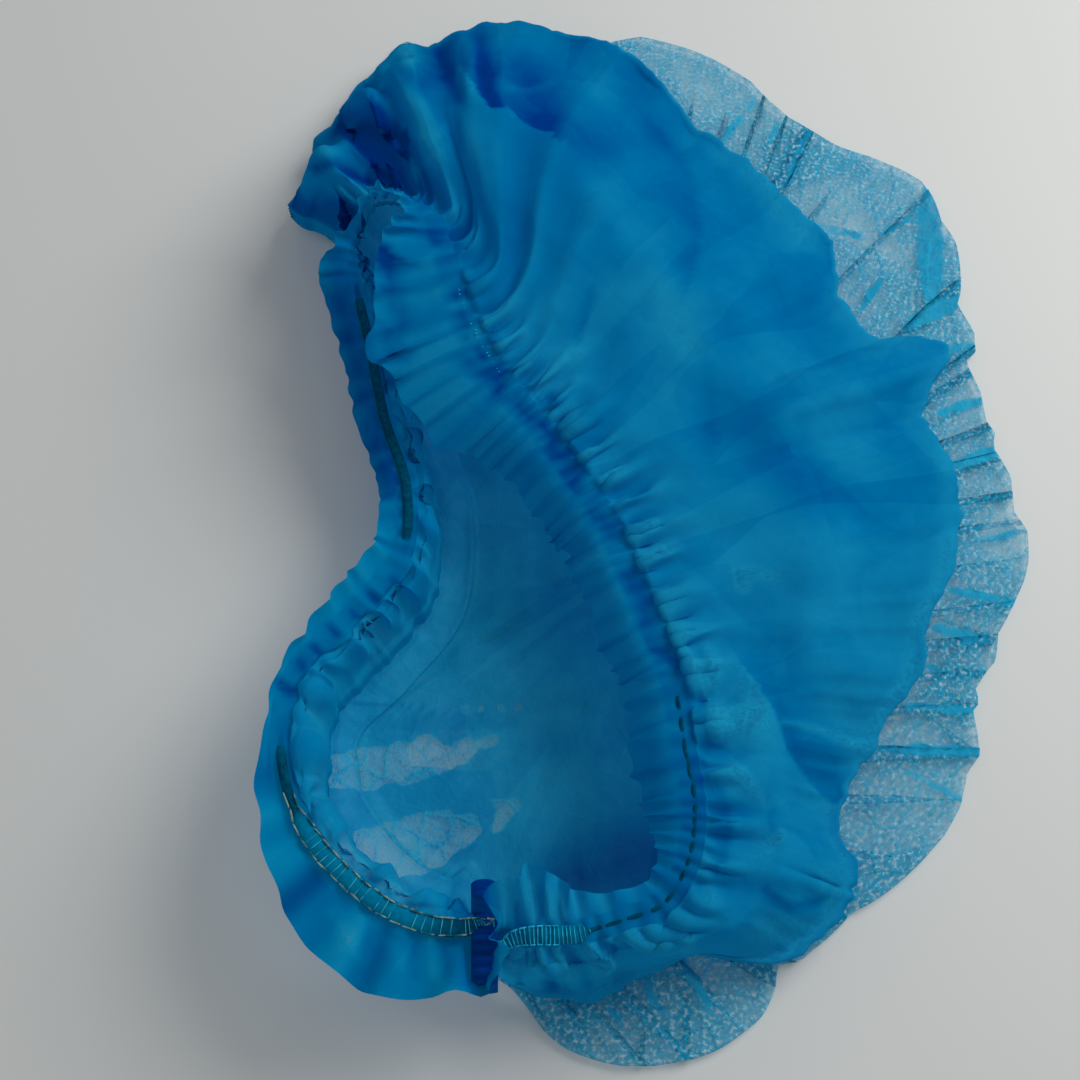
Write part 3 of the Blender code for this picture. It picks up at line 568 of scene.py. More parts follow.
def gathered(mouth, grid, parts, shares, normals):
    """Adds the gathers at the elastic and the frill's waves, and says how bunched the cloth is, with painted
    light and painted shade laid in.
    """
    count = len(parts)
    stations = np.arange(STATIONS) / STATIONS
    ruck = resampled(mouth.read("ruck")[:, None], stations)[:, 0]
    circle = np.stack([np.cos(stations * 2 * math.pi), np.sin(stations * 2 * math.pi)], 1)
    hem_row = np.flatnonzero(parts == "hem")[0]
    elastic = grid[hem_row : hem_row + 4].mean(0)
    along = unit(np.roll(elastic, -1, 0) - np.roll(elastic, 1, 0))
    drift = patchy(circle * 9.0, 1.0, 5) * 0.5 + patchy(circle * 3.1, 1.0, 6) * 0.6
    coarse = np.sin(2 * math.pi * COARSE_GATHERS * stations + drift * 2.4)
    fine = np.sin(2 * math.pi * FINE_GATHERS * stations + drift * 5.0 + 1.0)
    frill_phase = 2 * math.pi * FRILL_WAVES * stations + drift * 3.0
    strong = 1 + 0.5 * patchy(circle * 14.0, 1.0, 8)
    share_of_frill = resampled(mouth.read("frill")[:, None], stations)[:, 0]
    tape = mouth.between((487, 935), (278, 770), 0.02)
    puffed = mouth.between((272, 745), (352, 592), 0.02)
    far_lip = mouth.between((440, 250), (690, 860), 0.02)
    slow = np.sin(2 * math.pi * SLOW_WAVES * stations + drift * 3.0)
    tip_folds = np.sin(2 * math.pi * TIP_FOLDS * stations + drift * 3.0)
    sideways = np.cos(2 * math.pi * COARSE_GATHERS * stations)
    rounded = 2.2 * np.abs(np.sin(frill_phase / 2)) - 1.2
    frill_wave = np.sin(frill_phase)
    frill_wave = frill_wave + (rounded - frill_wave) * puffed
    frill_wave = frill_wave + (0.8 * frill_wave + 0.6 * slow - frill_wave) * np.maximum(tape, far_lip)
    smooth_neck = mouth.between((412, 548), (340, 240), 0.02)
    near_side = mouth.between((487, 932), (345, 235), 0.02)
    frill_height = 0.0014 + 0.0008 * puffed + 0.0004 * tape - 0.0008 * far_lip - 0.0010 * smooth_neck
    pull = 0.0014 + 0.0004 * mouth.between((610, 930), (487, 935))

    outline = fold_or_edge(mouth)
    result = grid.copy()
    bunching_and_painted_shade = np.zeros((count, STATIONS))
    for row in range(count):
        part, share = parts[row], shares[row]
        away = np.linalg.norm(grid[row] - elastic, axis=1)
        normal = normals[row]
        if part == "frill":
            grow = share**0.7 * np.minimum(share_of_frill / 0.7, 1.0)
            height = frill_height * frill_wave * strong * grow + 0.0006 * fine * grow
            sway = 0.0006 * np.cos(frill_phase) * grow
            result[row] += normal * height[:, None] + along * sway[:, None]
            # painted light and painted shade along the frill's waves
            bunching_and_painted_shade[row] = 1.12 - 0.15 * share + 0.16 * frill_wave + 0.06 * fine
            bunching_and_painted_shade[row] += (0.30 + 0.16 * slow + 0.18 * frill_wave) * tape
            bunching_and_painted_shade[row] -= 0.15 * far_lip + 0.15 * puffed * share
        elif part == "hem":
            result[row] += normal * (0.0003 * fine)[:, None]
            bunching_and_painted_shade[row] = 1.20 + 0.12 * fine
        elif part in ("lip", "slope"):
            near = smooth_step(away, 0.0015, 0.006) * (1 - smooth_step(away, 0.007, 0.022))
            close = smooth_step(away, 0.0015, 0.004) * (1 - smooth_step(away, 0.005, 0.014))
            rise = pull * coarse * strong * near + 0.0010 * fine * close
            deep = 0.0022 * ruck * tip_folds
            deep *= smooth_step(away, 0.004, 0.02) * (1 - 0.6 * smooth_step(away, 0.05, 0.08))
            result[row] += normal * (rise + deep)[:, None]
            result[row] += along * (0.0008 * sideways * near)[:, None]
            # painted light on the crests of the gathers by the elastic and painted shade in their valleys
            bunching_and_painted_shade[row] = 0.92 - 0.16 * coarse * near - 0.08 * fine * close
            bunching_and_painted_shade[row] += 0.08 * (1 - smooth_step(away, 0.002, 0.010))
            # painted light on the crests of the folds at the drawn-up end
            bunching_and_painted_shade[row] -= 0.3 * ruck * tip_folds - 0.15 * ruck
            # partly painted light: the cloth is made paler and thinner towards the near end of the cap and
            # deeper towards the far end
            height = smooth_step(grid[row][:, 1], -0.11, 0.09)
            bunching_and_painted_shade[row] += 0.10 * height - 0.38 * (1 - height)
            if part == "slope":
                thin = 0.30 + 0.22 * patchy(circle * 16.0, 1.0, 15)
                thin *= (1 - ruck) * (1 - near_side) * smooth_step(share, 0.78, 0.98)
                bunching_and_painted_shade[row] -= thin
        elif part in ("turn", "return", "inner"):
            bunching_and_painted_shade[row] = 0.85 - 0.35 * (1 - ruck) * (1 - near_side)
        else:
            depth = inside_by(grid[row][:, :2], outline)
            bunching_and_painted_shade[row] = 0.60 * smooth_step(depth, -0.0005, 0.0025)
            bunching_and_painted_shade[row] += (0.12 if part == "margin" else 0.0) * smooth_step(depth, 0.001, 0.003)
            seen = pixels_of(result[row])
            # the darker places are largely painted shade inside the mouth
            for across, down, wide, tall, shade in FLOOR_TONES_AND_PAINTED_SHADE:
                away = ((seen[:, 0] - across) / wide) ** 2 + ((seen[:, 1] - down) / tall) ** 2
                bunching_and_painted_shade[row] += shade * np.exp(-away) * (depth > 0.001)
            if part == "rim":
                bunching_and_painted_shade[row] += 0.06
    return result, bunching_and_painted_shade


# Folds and overlaps of the raised cloth, each drawn along the points where the photograph
# shows it: how much darker or lighter, how far it rises in millimetres, and how many pixels
# it fades over to the left and to the right of its run. The darker and lighter amounts are
# mostly painted shade in hollows, folds and the turned-under seam, and painted light on
# ridges and petals, added to how bunched the cloth reads
FOLDS_AND_PAINTED_SHADING = (
    # the drawn-up end, with its folded-over petals: painted shade in the navy hollows between them, painted
    # light on the petals
    (1.2, -1.5, 3, 22, ((355, 211), (366, 226), (375, 240), (387, 248))),
    (1.0, -1.0, 14, 14, ((298, 206), (318, 212), (345, 216))),
    (-0.5, 1.2, 5, 5, ((340, 190), (352, 200), (372, 204), (396, 203))),
    (1.2, -1.2, 5, 6, ((314, 168), (335, 163), (348, 172), (359, 179), (368, 182))),
    (-0.25, 0.8, 4, 10, ((337, 170), (351, 180), (366, 183), (387, 191))),
    (1.3, -1.4, 3, 22, ((394, 186), (387, 181), (376, 168), (360, 149), (346, 134))),
    (1.2, -1.5, 3, 16, ((378, 104), (391, 125), (405, 134), (407, 143))),
    (0.8, -0.8, 10, 10, ((340, 128), (365, 122), (385, 132))),
    (-0.3, 0.6, 10, 10, ((345, 147), (368, 170))),
    (-0.35, 0.5, 12, 12, ((322, 140), (330, 158))),
    (0.7, -1.0, 8, 8, ((439, 52), (451, 81), (457, 95))),
    (0.6, -0.8, 12, 12, ((404, 72), (422, 82))),
    (-0.25, 0.8, 8, 8, ((462, 36), (467, 74), (469, 91))),
    (0.8, -1.2, 9, 9, ((481, 38), (485, 66), (489, 82), (496, 97))),
    (0.8, -1.2, 3, 30, ((538, 124), (522, 114), (511, 103), (492, 101), (478, 86))),
    (0.5, -0.8, 16, 16, ((520, 62), (535, 75))),
    (-0.25, 0.7, 4, 4, ((494, 85), (530, 89), (548, 83))),
    (-0.25, 0.4, 10, 10, ((468, 134), (470, 243))),
    (-0.25, 0.5, 4, 4, ((405, 127), (428, 145), (444, 131))),
    (-0.25, 0.5, 3, 12, ((396, 210), (398, 188), (416, 168), (437, 151))),
    # gathers inside the near edge, with painted shade in them
    (0.6, -0.8, 7, 7, ((385, 262), (391, 276))),
    (0.6, -0.8, 7, 7, ((386, 288), (394, 290))),
    (0.6, -0.8, 8, 8, ((392, 306), (400, 310))),
    (0.6, -0.8, 9, 9, ((388, 334), (402, 326))),
    (0.6, -0.8, 10, 10, ((392, 354), (404, 357))),
    (0.5, -0.6, 8, 8, ((388, 386), (396, 378))),
    # the near side's outer edge: painted shade of the cap's own shadow, set as denser cloth
    (0.9, 0.0, 16, 16, ((335, 250), (344, 290), (352, 335), (366, 385), (378, 430), (388, 480))),
    # paler and deeper patches of the far slope
    (-0.9, 0.0, 10, 10, ((406, 44), (410, 56))),
    (0.35, 0.0, 36, 36, ((752, 430), (790, 480))),
    (0.30, 0.0, 30, 30, ((640, 60), (660, 130))),
    (-0.25, 0.0, 30, 30, ((880, 300), (900, 340))),
    # painted shade in the hollows just inside the puffed edge
    (1.1, -0.9, 5, 5, ((280, 683), (289, 690))),
    (1.0, -0.8, 5, 5, ((298, 660), (304, 667))),
    (1.0, -0.8, 5, 5, ((313, 645), (319, 652))),
    (1.0, -0.8, 5, 5, ((330, 626), (337, 634))),
    (0.9, -0.8, 5, 5, ((350, 609), (356, 616))),
    (0.8, -0.8, 5, 5, ((371, 594), (377, 600))),
    (0.7, -0.6, 5, 5, ((390, 577), (398, 583))),
    # gathers on the inner side of the far lip, in painted shade where the frill turns under
    (0.5, -0.6, 11, 11, ((435, 236), (445, 246))),
    (0.6, -0.5, 5, 5, ((457, 291), (459, 298))),
    (0.6, -0.5, 6, 6, ((462, 316), (464, 324))),
    (0.6, -0.5, 5, 5, ((480, 350), (484, 356))),
    (0.6, -0.5, 7, 7, ((460, 359), (468, 360))),
    (0.7, -0.8, 8, 8, ((478, 374), (501, 372), (500, 384), (496, 394))),
    (0.6, -0.6, 8, 8, ((518, 404), (530, 418))),
    (0.7, -0.6, 7, 7, ((543, 423), (552, 438))),
    (0.7, -0.6, 8, 8, ((552, 452), (566, 456))),
    (0.7, -0.6, 8, 8, ((566, 474), (577, 468), (573, 486))),
    (0.5, -0.6, 10, 10, ((592, 516), (600, 520), (612, 532))),
    (0.6, -0.6, 10, 10, ((628, 578), (645, 600), (646, 628))),
    (0.6, -0.6, 7, 7, ((652, 648), (666, 655), (678, 664))),
    # painted light on the ridges and sparkling gathers of its outer side, with painted shade between them
    (0.5, -0.4, 4, 4, ((492, 326), (493, 334))),
    (0.5, -0.4, 5, 5, ((551, 399), (554, 404))),
    (0.4, -0.5, 6, 6, ((576, 448), (594, 441))),
    (0.4, -0.5, 6, 6, ((620, 502), (646, 489))),
    (-0.35, 0.5, 6, 6, ((425, 262), (448, 246))),
    (-0.30, 0.5, 5, 5, ((440, 290), (465, 276))),
    (-0.40, 0.5, 5, 5, ((452, 308), (464, 300))),
    (-0.40, 0.6, 6, 6, ((474, 336), (486, 322))),
    (-0.30, 0.6, 5, 5, ((490, 352), (524, 334))),
    (-0.25, 0.5, 5, 5, ((506, 382), (528, 366))),
    (-0.30, 0.5, 5, 5, ((528, 402), (545, 388))),
    (-0.35, 0.6, 6, 6, ((550, 418), (572, 408))),
    (-0.40, 0.6, 5, 5, ((563, 440), (574, 428))),
    (-0.40, 0.6, 6, 6, ((575, 460), (590, 450))),
    (-0.40, 0.7, 11, 11, ((590, 480), (616, 470))),
    (-0.30, 0.6, 5, 5, ((606, 512), (626, 498))),
    (-0.35, 0.6, 6, 6, ((628, 538), (652, 524))),
    (-0.30, 0.6, 8, 8, ((640, 562), (668, 548))),
    (-0.30, 0.5, 12, 12, ((556, 356), (574, 352))),
    (-0.35, 0.4, 5, 5, ((558, 388), (576, 378))),
    (0.30, -0.3, 3, 10, ((593, 291), (584, 320), (578, 343))),
    (0.25, -0.2, 3, 16, ((714, 395), (716, 443))),
    (-0.45, 0.3, 22, 22, ((660, 290), (690, 345))),
    # soft petals down the far slope, with painted light on them and painted shade under their edges
    (-0.25, 0.5, 12, 12, ((662, 605), (680, 628))),
    (-0.75, 0.3, 6, 6, ((738, 573), (742, 588))),
    (-0.35, 0.2, 9, 9, ((750, 575), (772, 578))),
    (-0.40, 0.7, 4, 12, ((690, 655), (702, 686), (712, 668), (706, 655))),
    (-0.30, 0.8, 12, 12, ((712, 705), (720, 735))),
    (0.45, -0.5, 3, 12, ((702, 700), (705, 730), (712, 745), (722, 748))),
    (-0.28, 0.8, 18, 18, ((757, 692), (764, 758))),
    (0.65, -0.6, 3, 42, ((829, 799), (810, 777), (790, 749), (786, 734), (777, 710), (762, 690))),
    (-0.55, 0.6, 4, 4, ((785, 722), (815, 729), (848, 743), (865, 751))),
    (0.45, -0.4, 8, 8, ((697, 762), (702, 782))),
    (0.35, -0.4, 11, 11, ((735, 810), (766, 822))),
    (-0.8, 0.3, 4, 4, ((775, 842), (781, 834))),
    (-0.30, 0.6, 9, 9, ((704, 862), (711, 900))),
    (-0.45, 0.6, 6, 6, ((688, 940), (692, 960), (702, 975))),
    (0.40, -0.5, 5, 5, ((765, 893), (790, 910), (815, 905), (835, 893))),
    (-0.75, 0.2, 16, 16, ((838, 880), (845, 915))),
    (-0.65, 0.2, 14, 14, ((765, 930), (805, 935))),
    (0.35, -0.3, 5, 14, ((720, 790), (728, 830), (722, 860))),
    (-0.22, 0.4, 3, 18, ((740, 768), (762, 800), (770, 850))),
    (0.30, -0.3, 3, 22, ((660, 130), (690, 170), (700, 230), (690, 280))),
    (-0.30, 0.3, 26, 26, ((600, 190), (640, 230))),
    (0.30, -0.3, 24, 24, ((800, 470), (880, 520))),
    (-0.30, 0.3, 18, 18, ((760, 180), (800, 240))),
    (0.30, -0.3, 20, 20, ((560, 130), (600, 150))),
    # ridges on both sides of the seam's ladder of stitches: painted light on the ridges, painted shade
    # between them
    (-0.45, 0.8, 3, 3, ((502, 880), (502, 925))),
    (-0.35, 0.8, 3, 3, ((529, 884), (532, 920))),
    (-0.30, 0.7, 3, 3, ((547, 890), (549, 918))),
    (-0.30, 0.7, 3, 3, ((561, 897), (566, 918))),
    (0.50, -0.6, 5, 5, ((540, 892), (541, 915))),
    (0.55, -0.5, 3, 3, ((516, 905), (517, 928))),
    (-0.40, 0.8, 3, 3, ((506, 948), (504, 995))),
    (-0.35, 0.8, 3, 3, ((528, 948), (538, 985))),
    (-0.35, 0.8, 3, 3, ((558, 945), (568, 978))),
    (-0.35, 0.8, 3, 3, ((585, 942), (606, 975))),
    (0.50, -0.6, 4, 4, ((516, 952), (520, 985))),
    (0.55, -0.6, 6, 6, ((548, 952), (552, 985))),
    (0.40, -0.5, 6, 6, ((576, 950), (588, 985))),
    (-0.60, 0.2, 26, 26, ((512, 890), (530, 905), (560, 912))),
    (-0.45, 0.2, 24, 24, ((512, 960), (560, 955))),
    # the seam itself, turned under, in painted shade
    (1.5, -0.6, 9, 9, ((484, 880), (484, 996))),
    (0.9, 0.0, 12, 12, ((459, 890), (457, 982))),
    (0.8, -0.6, 4, 4, ((470, 884), (470, 990))),
    # the broad frill outside the near elastic, with painted light and painted shade on its waves
    (0.35, -0.4, 6, 6, ((372, 912), (366, 945))),
    (-0.30, 0.4, 10, 10, ((335, 915), (348, 940))),
    (-0.35, 0.4, 10, 10, ((390, 945), (402, 965))),
    (0.40, -0.5, 4, 4, ((415, 930), (412, 975))),
    (0.45, -0.5, 5, 5, ((442, 938), (446, 975))),
    (-0.30, 0.4, 7, 7, ((430, 938), (432, 975))),
)


def folded_over(grid, parts, bunching_and_painted_shade):
    """Adds the folds and overlaps that the photograph shows on the raised cloth, with their painted shade
    and painted light.
    """
    rows = np.flatnonzero(np.isin(parts, ("frill", "hem", "lip", "slope")))
    result, shaded = grid.copy(), bunching_and_painted_shade.copy()
    points = grid[rows]
    seen = pixels_of(points)
    normals = grid_normals(grid)[rows]
    upright = normals * np.where(normals[..., 2:] < 0, -1.0, 1.0)
    upright = upright * smooth_step(upright[..., 2:], 0.1, 0.5)
    for shade, rise, left, right, run in FOLDS_AND_PAINTED_SHADING:
        run = np.array(run, float)
        low, high = run.min(0) - 2.5 * max(left, right), run.max(0) + 2.5 * max(left, right)
        near = ((seen > low) & (seen < high)).all(2)
        if not near.any():
            continue
        here = seen[near]
        best = np.full(len(here), np.inf)
        side = np.zeros(len(here))
        for start, end in zip(run[:-1], run[1:]):
            step = end - start
            share = np.clip(((here - start) @ step) / (step @ step), 0, 1)
            gap = here - start - share[:, None] * step
            away = np.linalg.norm(gap, axis=1)
            closer = away < best
            turned = step[0] * (here[:, 1] - start[1]) - step[1] * (here[:, 0] - start[0])
            side = np.where(closer, np.sign(turned), side)
            best = np.where(closer, away, best)
        reach = np.where(side > 0, right, left)
        weight = np.exp(-((best / reach) ** 2))
        patch = np.zeros(near.shape)
        patch[near] = weight
        result[rows] += upright * (patch * rise / 1000)[..., None]
        # painted shade where a stroke's shade is positive, painted light where it is negative
        shaded[rows] += patch * shade
    return result, shaded


def fold_or_edge(mouth):
    """The outline, seen from above, of the part of the cap where many plies lie together."""
    edge = mouth.edge()[:, :2]
    fold = fitted(mouth.place("fold", UPPER_LEVEL), FOLD_SEEN, UPPER_LEVEL)[:, :2]
    along = np.roll(edge, -2, 0) - np.roll(edge, 2, 0)
    outward = np.stack([-along[:, 1], along[:, 0]], 1)
    beyond = ((fold - edge) * outward).sum(1) > 0
    return np.where(beyond[:, None], fold, edge)[::4]


def crumpled(grid, parts, shares):
    """Adds the dents and creases that thin cloth has wherever it lies."""
    result = grid.copy()
    normals = grid_normals(grid)
    for row, part in enumerate(parts):
        points = grid[row]
        if part in ("lip", "slope"):
            soft = patchy(points, 0.017, 21) * 0.0016 + patchy(points, 0.007, 22) * 0.0005
            sharp = ridged(points, 0.011, 23) * 0.0004
            result[row] += normals[row] * (soft + sharp)[:, None]
        elif part in ("turn", "return", "inner"):
            result[row, :, 2] += patchy(points, 0.012, 24) * 0.0008
        elif part == "margin":
            share = shares[row]
            calm = 1 - 0.75 * smooth_step(share, 0.75, 1.0)
            rise = patchy(points, 0.014, 25) * 0.0006 + ridged(points, 0.008, 26) * 0.0005
            result[row, :, 2] += rise * calm
        elif part == "rim":
            result[row, :, 2] += patchy(points, 0.014, 25) * 0.0001
        elif part == "floor":
            share = shares[row]
            free = smooth_step(share, 0.02, 0.2)
            rise = np.abs(patchy(points, 0.018, 27)) * 0.0011 + ridged(points, 0.009, 28) * 0.0003
            rise += np.abs(patchy(points, 0.008, 29)) * 0.0016
            result[row, :, 2] += (rise + 0.0002) * free
    return result


def linked(name, data):
    """A new object of this name in the scene."""
    holder = bpy.data.objects.new(name, data)
    bpy.context.scene.collection.objects.link(holder)
    return holder


def cloth_piece(name, points, faces, lay, pleating, bunching_and_painted_shade):
    """A piece of cloth, with its flat lay as its UV map and its gathers, with painted shade and painted
    light, as attributes.
    """
    mesh = bpy.data.meshes.new(name)
    mesh.from_pydata(points.tolist(), [], faces)
    layer = mesh.uv_layers.new(name="flat_lay")
    corners = np.empty(len(mesh.loops), int)
    mesh.loops.foreach_get("vertex_index", corners)
    layer.data.foreach_set("uv", lay[corners].ravel())
    around = mesh.attributes.new("pleating", "FLOAT_VECTOR", "POINT")
    around.data.foreach_set("vector", pleating.ravel())
    thick = mesh.attributes.new("bunching_and_painted_shade", "FLOAT", "POINT")
    thick.data.foreach_set("value", bunching_and_painted_shade.ravel())
    mesh.shade_smooth()
    return linked(name, mesh)


def cloth_mesh(mouth):
    """The whole cap as one sheet of cloth, with its flat lay as its UV map."""
    grid, parts, shares, normals, middle = folded_cloth(mouth)
    grid, bunching_and_painted_shade = gathered(mouth, grid, parts, shares, normals)
    grid = crumpled(grid, parts, shares)
    grid, bunching_and_painted_shade = folded_over(grid, parts, bunching_and_painted_shade)
    grid[..., 2] = np.maximum(grid[..., 2], 0.00015)

    count = len(parts)
    points = np.concatenate([grid.reshape(-1, 3), middle[None]])
    pole = count * STATIONS
    faces = []
    material = []
    film_from = np.flatnonzero(parts == "margin")[0]
    for row in range(count - 1):
        a = row * STATIONS + np.arange(STATIONS)
        b = row * STATIONS + (np.arange(STATIONS) + 1) % STATIONS
        faces.append(np.stack([a, b, b + STATIONS, a + STATIONS], 1))
        material.append(np.full(STATIONS, int(row >= film_from)))
    faces = np.concatenate(faces).tolist()
    last = (count - 1) * STATIONS
    for here in range(STATIONS):
        faces.append([last + here, last + (here + 1) % STATIONS, pole])
    material = np.append(np.concatenate(material), np.ones(STATIONS, int))

    runs = np.linalg.norm(np.diff(grid[::-1], axis=0), axis=2).cumsum(0)[::-1]
    runs = np.concatenate([runs, np.zeros((1, STATIONS))]).mean(1)
    runs = runs / runs[0] * CUT_DIAMETER / 2
    turn = np.arange(STATIONS) / STATIONS * 2 * math.pi
    spokes = np.broadcast_to(np.stack([np.cos(turn), np.sin(turn)], 1), (count, STATIONS, 2))
    lay = np.concatenate([(runs[:, None, None] * spokes).reshape(-1, 2), [[0.0, 0.0]]])
    pleating = np.column_stack([spokes.reshape(-1, 2), np.repeat(runs, STATIONS)])
    pleating = np.concatenate([pleating, [[1.0, 0.0, 0.0]]])
    bunching_and_painted_shade = np.append(bunching_and_painted_shade.ravel(), 0.85)

    piece = cloth_piece("cap_cloth", points, faces, lay, pleating, bunching_and_painted_shade)
    mesh = piece.data
    marks = mesh.attributes.new("ply_marks", "FLOAT_VECTOR", "POINT")
    marks.data.foreach_set("vector", ply_marks(points).ravel())
    mesh.materials.append(dense_cloth())
    mesh.materials.append(film_cloth())
    mesh.polygons.foreach_set("material_index", material)
    mesh.update()
    return piece


class Nodes:
    """A node tree, with short calls to add and join nodes."""

    def __init__(self, tree):
        self.tree = tree

    def add(self, kind, inputs=None, **settings):
        node = self.tree.nodes.new(kind)
        for name, value in settings.items():
            setattr(node, name, value)
        for name, value in (inputs or {}).items():
            socket = node.inputs[name]
            if isinstance(value, bpy.types.NodeSocket):
                self.tree.links.new(value, socket)
            else:
                socket.default_value = value
        return node

    def math(self, operation, first, second=0.5, clamp=False):
        node = self.add("ShaderNodeMath", {0: first, 1: second}, operation=operation)
        node.use_clamp = clamp
        return node.outputs[0]

    def plus(self, total, parts):
        """The total with each part added at its own weight."""
        for value, weight in parts:
            total = self.math("ADD", total, self.math("MULTIPLY", value, weight))
        return total

    def mix(self, share, first, second):
        node = self.add("ShaderNodeMix", data_type="RGBA")
        for socket, value in zip((node.inputs[0], node.inputs[6], node.inputs[7]), (share, first, second)):
            if isinstance(value, bpy.types.NodeSocket):
                self.tree.links.new(value, socket)
            else:
                socket.default_value = value
        return node.outputs[2]

    def band(self, value, low, high, to_low=0.0, to_high=1.0):
        node = self.add(
            "ShaderNodeMapRange",
            {"Value": value, "From Min": low, "From Max": high, "To Min": to_low, "To Max": to_high},
        )
        return node.outputs[0]


def spunbond_group():
    """Crinkled spunbond cloth: its colour, opacity, roughness and relief.

    Bunching is 0 on one flat ply, 1 where the cloth is drawn together and 2 in deep pleats; past 1 the
    colour runs to navy and near black, which is largely painted shade of deep folds and hollows.
    """
    if "spunbond" in bpy.data.node_groups:
        return bpy.data.node_groups["spunbond"]
    group = bpy.data.node_groups.new("spunbond", "ShaderNodeTree")
    for name in ("Lay", "Place", "Pleating"):
        group.interface.new_socket(name, in_out="INPUT", socket_type="NodeSocketVector")
    # the Bunching input carries how many plies lie together and also painted shade and painted light
    for name in ("Bunching", "Thin", "Thick"):
        group.interface.new_socket(name, in_out="INPUT", socket_type="NodeSocketFloat")
    group.interface.new_socket("Colour", in_out="OUTPUT", socket_type="NodeSocketColor")
    for name in ("Opacity", "Roughness", "Relief"):
        group.interface.new_socket(name, in_out="OUTPUT", socket_type="NodeSocketFloat")
    nodes = Nodes(group)
    given = nodes.add("NodeGroupInput")
    lay, place = given.outputs["Lay"], given.outputs["Place"]
    bunching_and_painted_shade = given.outputs["Bunching"]


    def flat_noise(vector, scale, detail):
        inputs = {"Vector": vector, "Scale": scale, "Detail": detail}
        return nodes.add("ShaderNodeTexNoise", inputs, noise_dimensions="2D").outputs["Fac"]

    fibres = flat_noise(lay, 900.0, 1.0)
    crinkle = flat_noise(place, 300.0, 2.0)
    bent = nodes.add("ShaderNodeTexNoise", {"Vector": place, "Scale": 60.0, "Detail": 1.0})
    shifted = nodes.add(
        "ShaderNodeVectorMath", {0: bent.outputs["Color"], 1: (0.006, 0.006, 0.0)}, operation="MULTIPLY"
    )
    shifted = nodes.add("ShaderNodeVectorMath", {0: place, 1: shifted.outputs[0]}, operation="ADD")

    def cells(scale, **settings):
        inputs = {"Vector": shifted.outputs[0], "Scale": scale}
        return nodes.add("ShaderNodeTexVoronoi", inputs, voronoi_dimensions="2D", **settings)

    creases = cells(150.0, feature="DISTANCE_TO_EDGE")
    facets = cells(62.0)
    large = cells(27.0)
    strips = nodes.add(
        "ShaderNodeVectorMath", {0: given.outputs["Pleating"], 1: (9.0, 9.0, 22.0)}, operation="MULTIPLY"
    )
    folds = nodes.add("ShaderNodeTexVoronoi", {"Vector": strips.outputs[0], "Scale": 1.0})
    inputs = {"Vector": place, "Scale": 26.0, "Detail": 2.0, "Roughness": 0.6}
    clouds = nodes.add("ShaderNodeTexNoise", inputs)

    def tone(texture):
        split = nodes.add("ShaderNodeSeparateColor", {"Color": texture.outputs["Color"]})
        return nodes.math("SUBTRACT", split.outputs[0], 0.5)

    cloud = nodes.band(clouds.outputs["Fac"], 0.35, 0.65, -0.5, 0.5)
    fibre = nodes.band(fibres, 0.3, 0.7, -0.5, 0.5)
    ripple = nodes.band(crinkle, 0.35, 0.65, -0.5, 0.5)
    edge = nodes.band(creases.outputs["Distance"], 0.0, 0.12, 1.0, 0.0)

    patches = ((cloud, 0.34), (tone(facets), 0.14), (tone(large), 0.20), (tone(folds), 0.22), (ripple, 0.06))
    depth = nodes.plus(bunching_and_painted_shade, patches)
    near = nodes.band(depth, 0.0, 1.0)
    colour = nodes.mix(near, (0.02, 0.52, 0.78, 1.0), (0.0, 0.26, 0.55, 1.0))
    # painted shade: past 1 the colour runs to navy and then near black
    far = nodes.band(depth, 1.0, 2.0)
    colour = nodes.mix(far, colour, (0.0, 0.045, 0.32, 1.0))
    colour = nodes.mix(nodes.band(depth, 2.0, 3.0), colour, (0.0, 0.012, 0.13, 1.0))
    bare = nodes.band(bunching_and_painted_shade, 0.03, 0.22, 1.0, 0.0)
    # whitish specks on bare thin cloth are painted glints of its crinkles; darker specks lie beside them
    sparkle = flat_noise(place, 950.0, 2.0)
    shade = nodes.band(sparkle, 0.36, 0.48, 0.45, 0.0)
    colour = nodes.mix(nodes.math("MULTIPLY", shade, bare), colour, (0.0, 0.22, 0.42, 1.0))
    painted_glint = nodes.band(sparkle, 0.54, 0.66, 0.0, 0.80)
    colour = nodes.mix(nodes.math("MULTIPLY", painted_glint, bare), colour, (0.72, 0.92, 0.98, 1.0))

    bare = nodes.band(bunching_and_painted_shade, 0.35, 0.85, 1.0, 0.0)
    opacity = nodes.band(bunching_and_painted_shade, 0.0, 0.5)
    span = nodes.math("SUBTRACT", given.outputs["Thick"], given.outputs["Thin"])
    opacity = nodes.math("MULTIPLY", opacity, span)
    opacity = nodes.math("ADD", opacity, given.outputs["Thin"])
    uneven = nodes.math("MULTIPLY", fibre, 0.30)
    uneven = nodes.plus(uneven, ((edge, 0.22), (tone(facets), 0.34), (cloud, 0.14)))
    opacity = nodes.math("ADD", opacity, nodes.math("MULTIPLY", uneven, bare), clamp=True)

    rough = nodes.band(ripple, -0.5, 0.5, 0.50, 0.70)
    relief = nodes.plus(nodes.math("MULTIPLY", ripple, 0.6), ((fibre, 0.25), (edge, 0.35)))
    relief = nodes.math("MULTIPLY", relief, nodes.band(bunching_and_painted_shade, 0.1, 0.5, 1.0, 0.22))
    results = {"Colour": colour, "Opacity": opacity, "Roughness": rough, "Relief": relief}
    nodes.add("NodeGroupOutput", results)
    return group


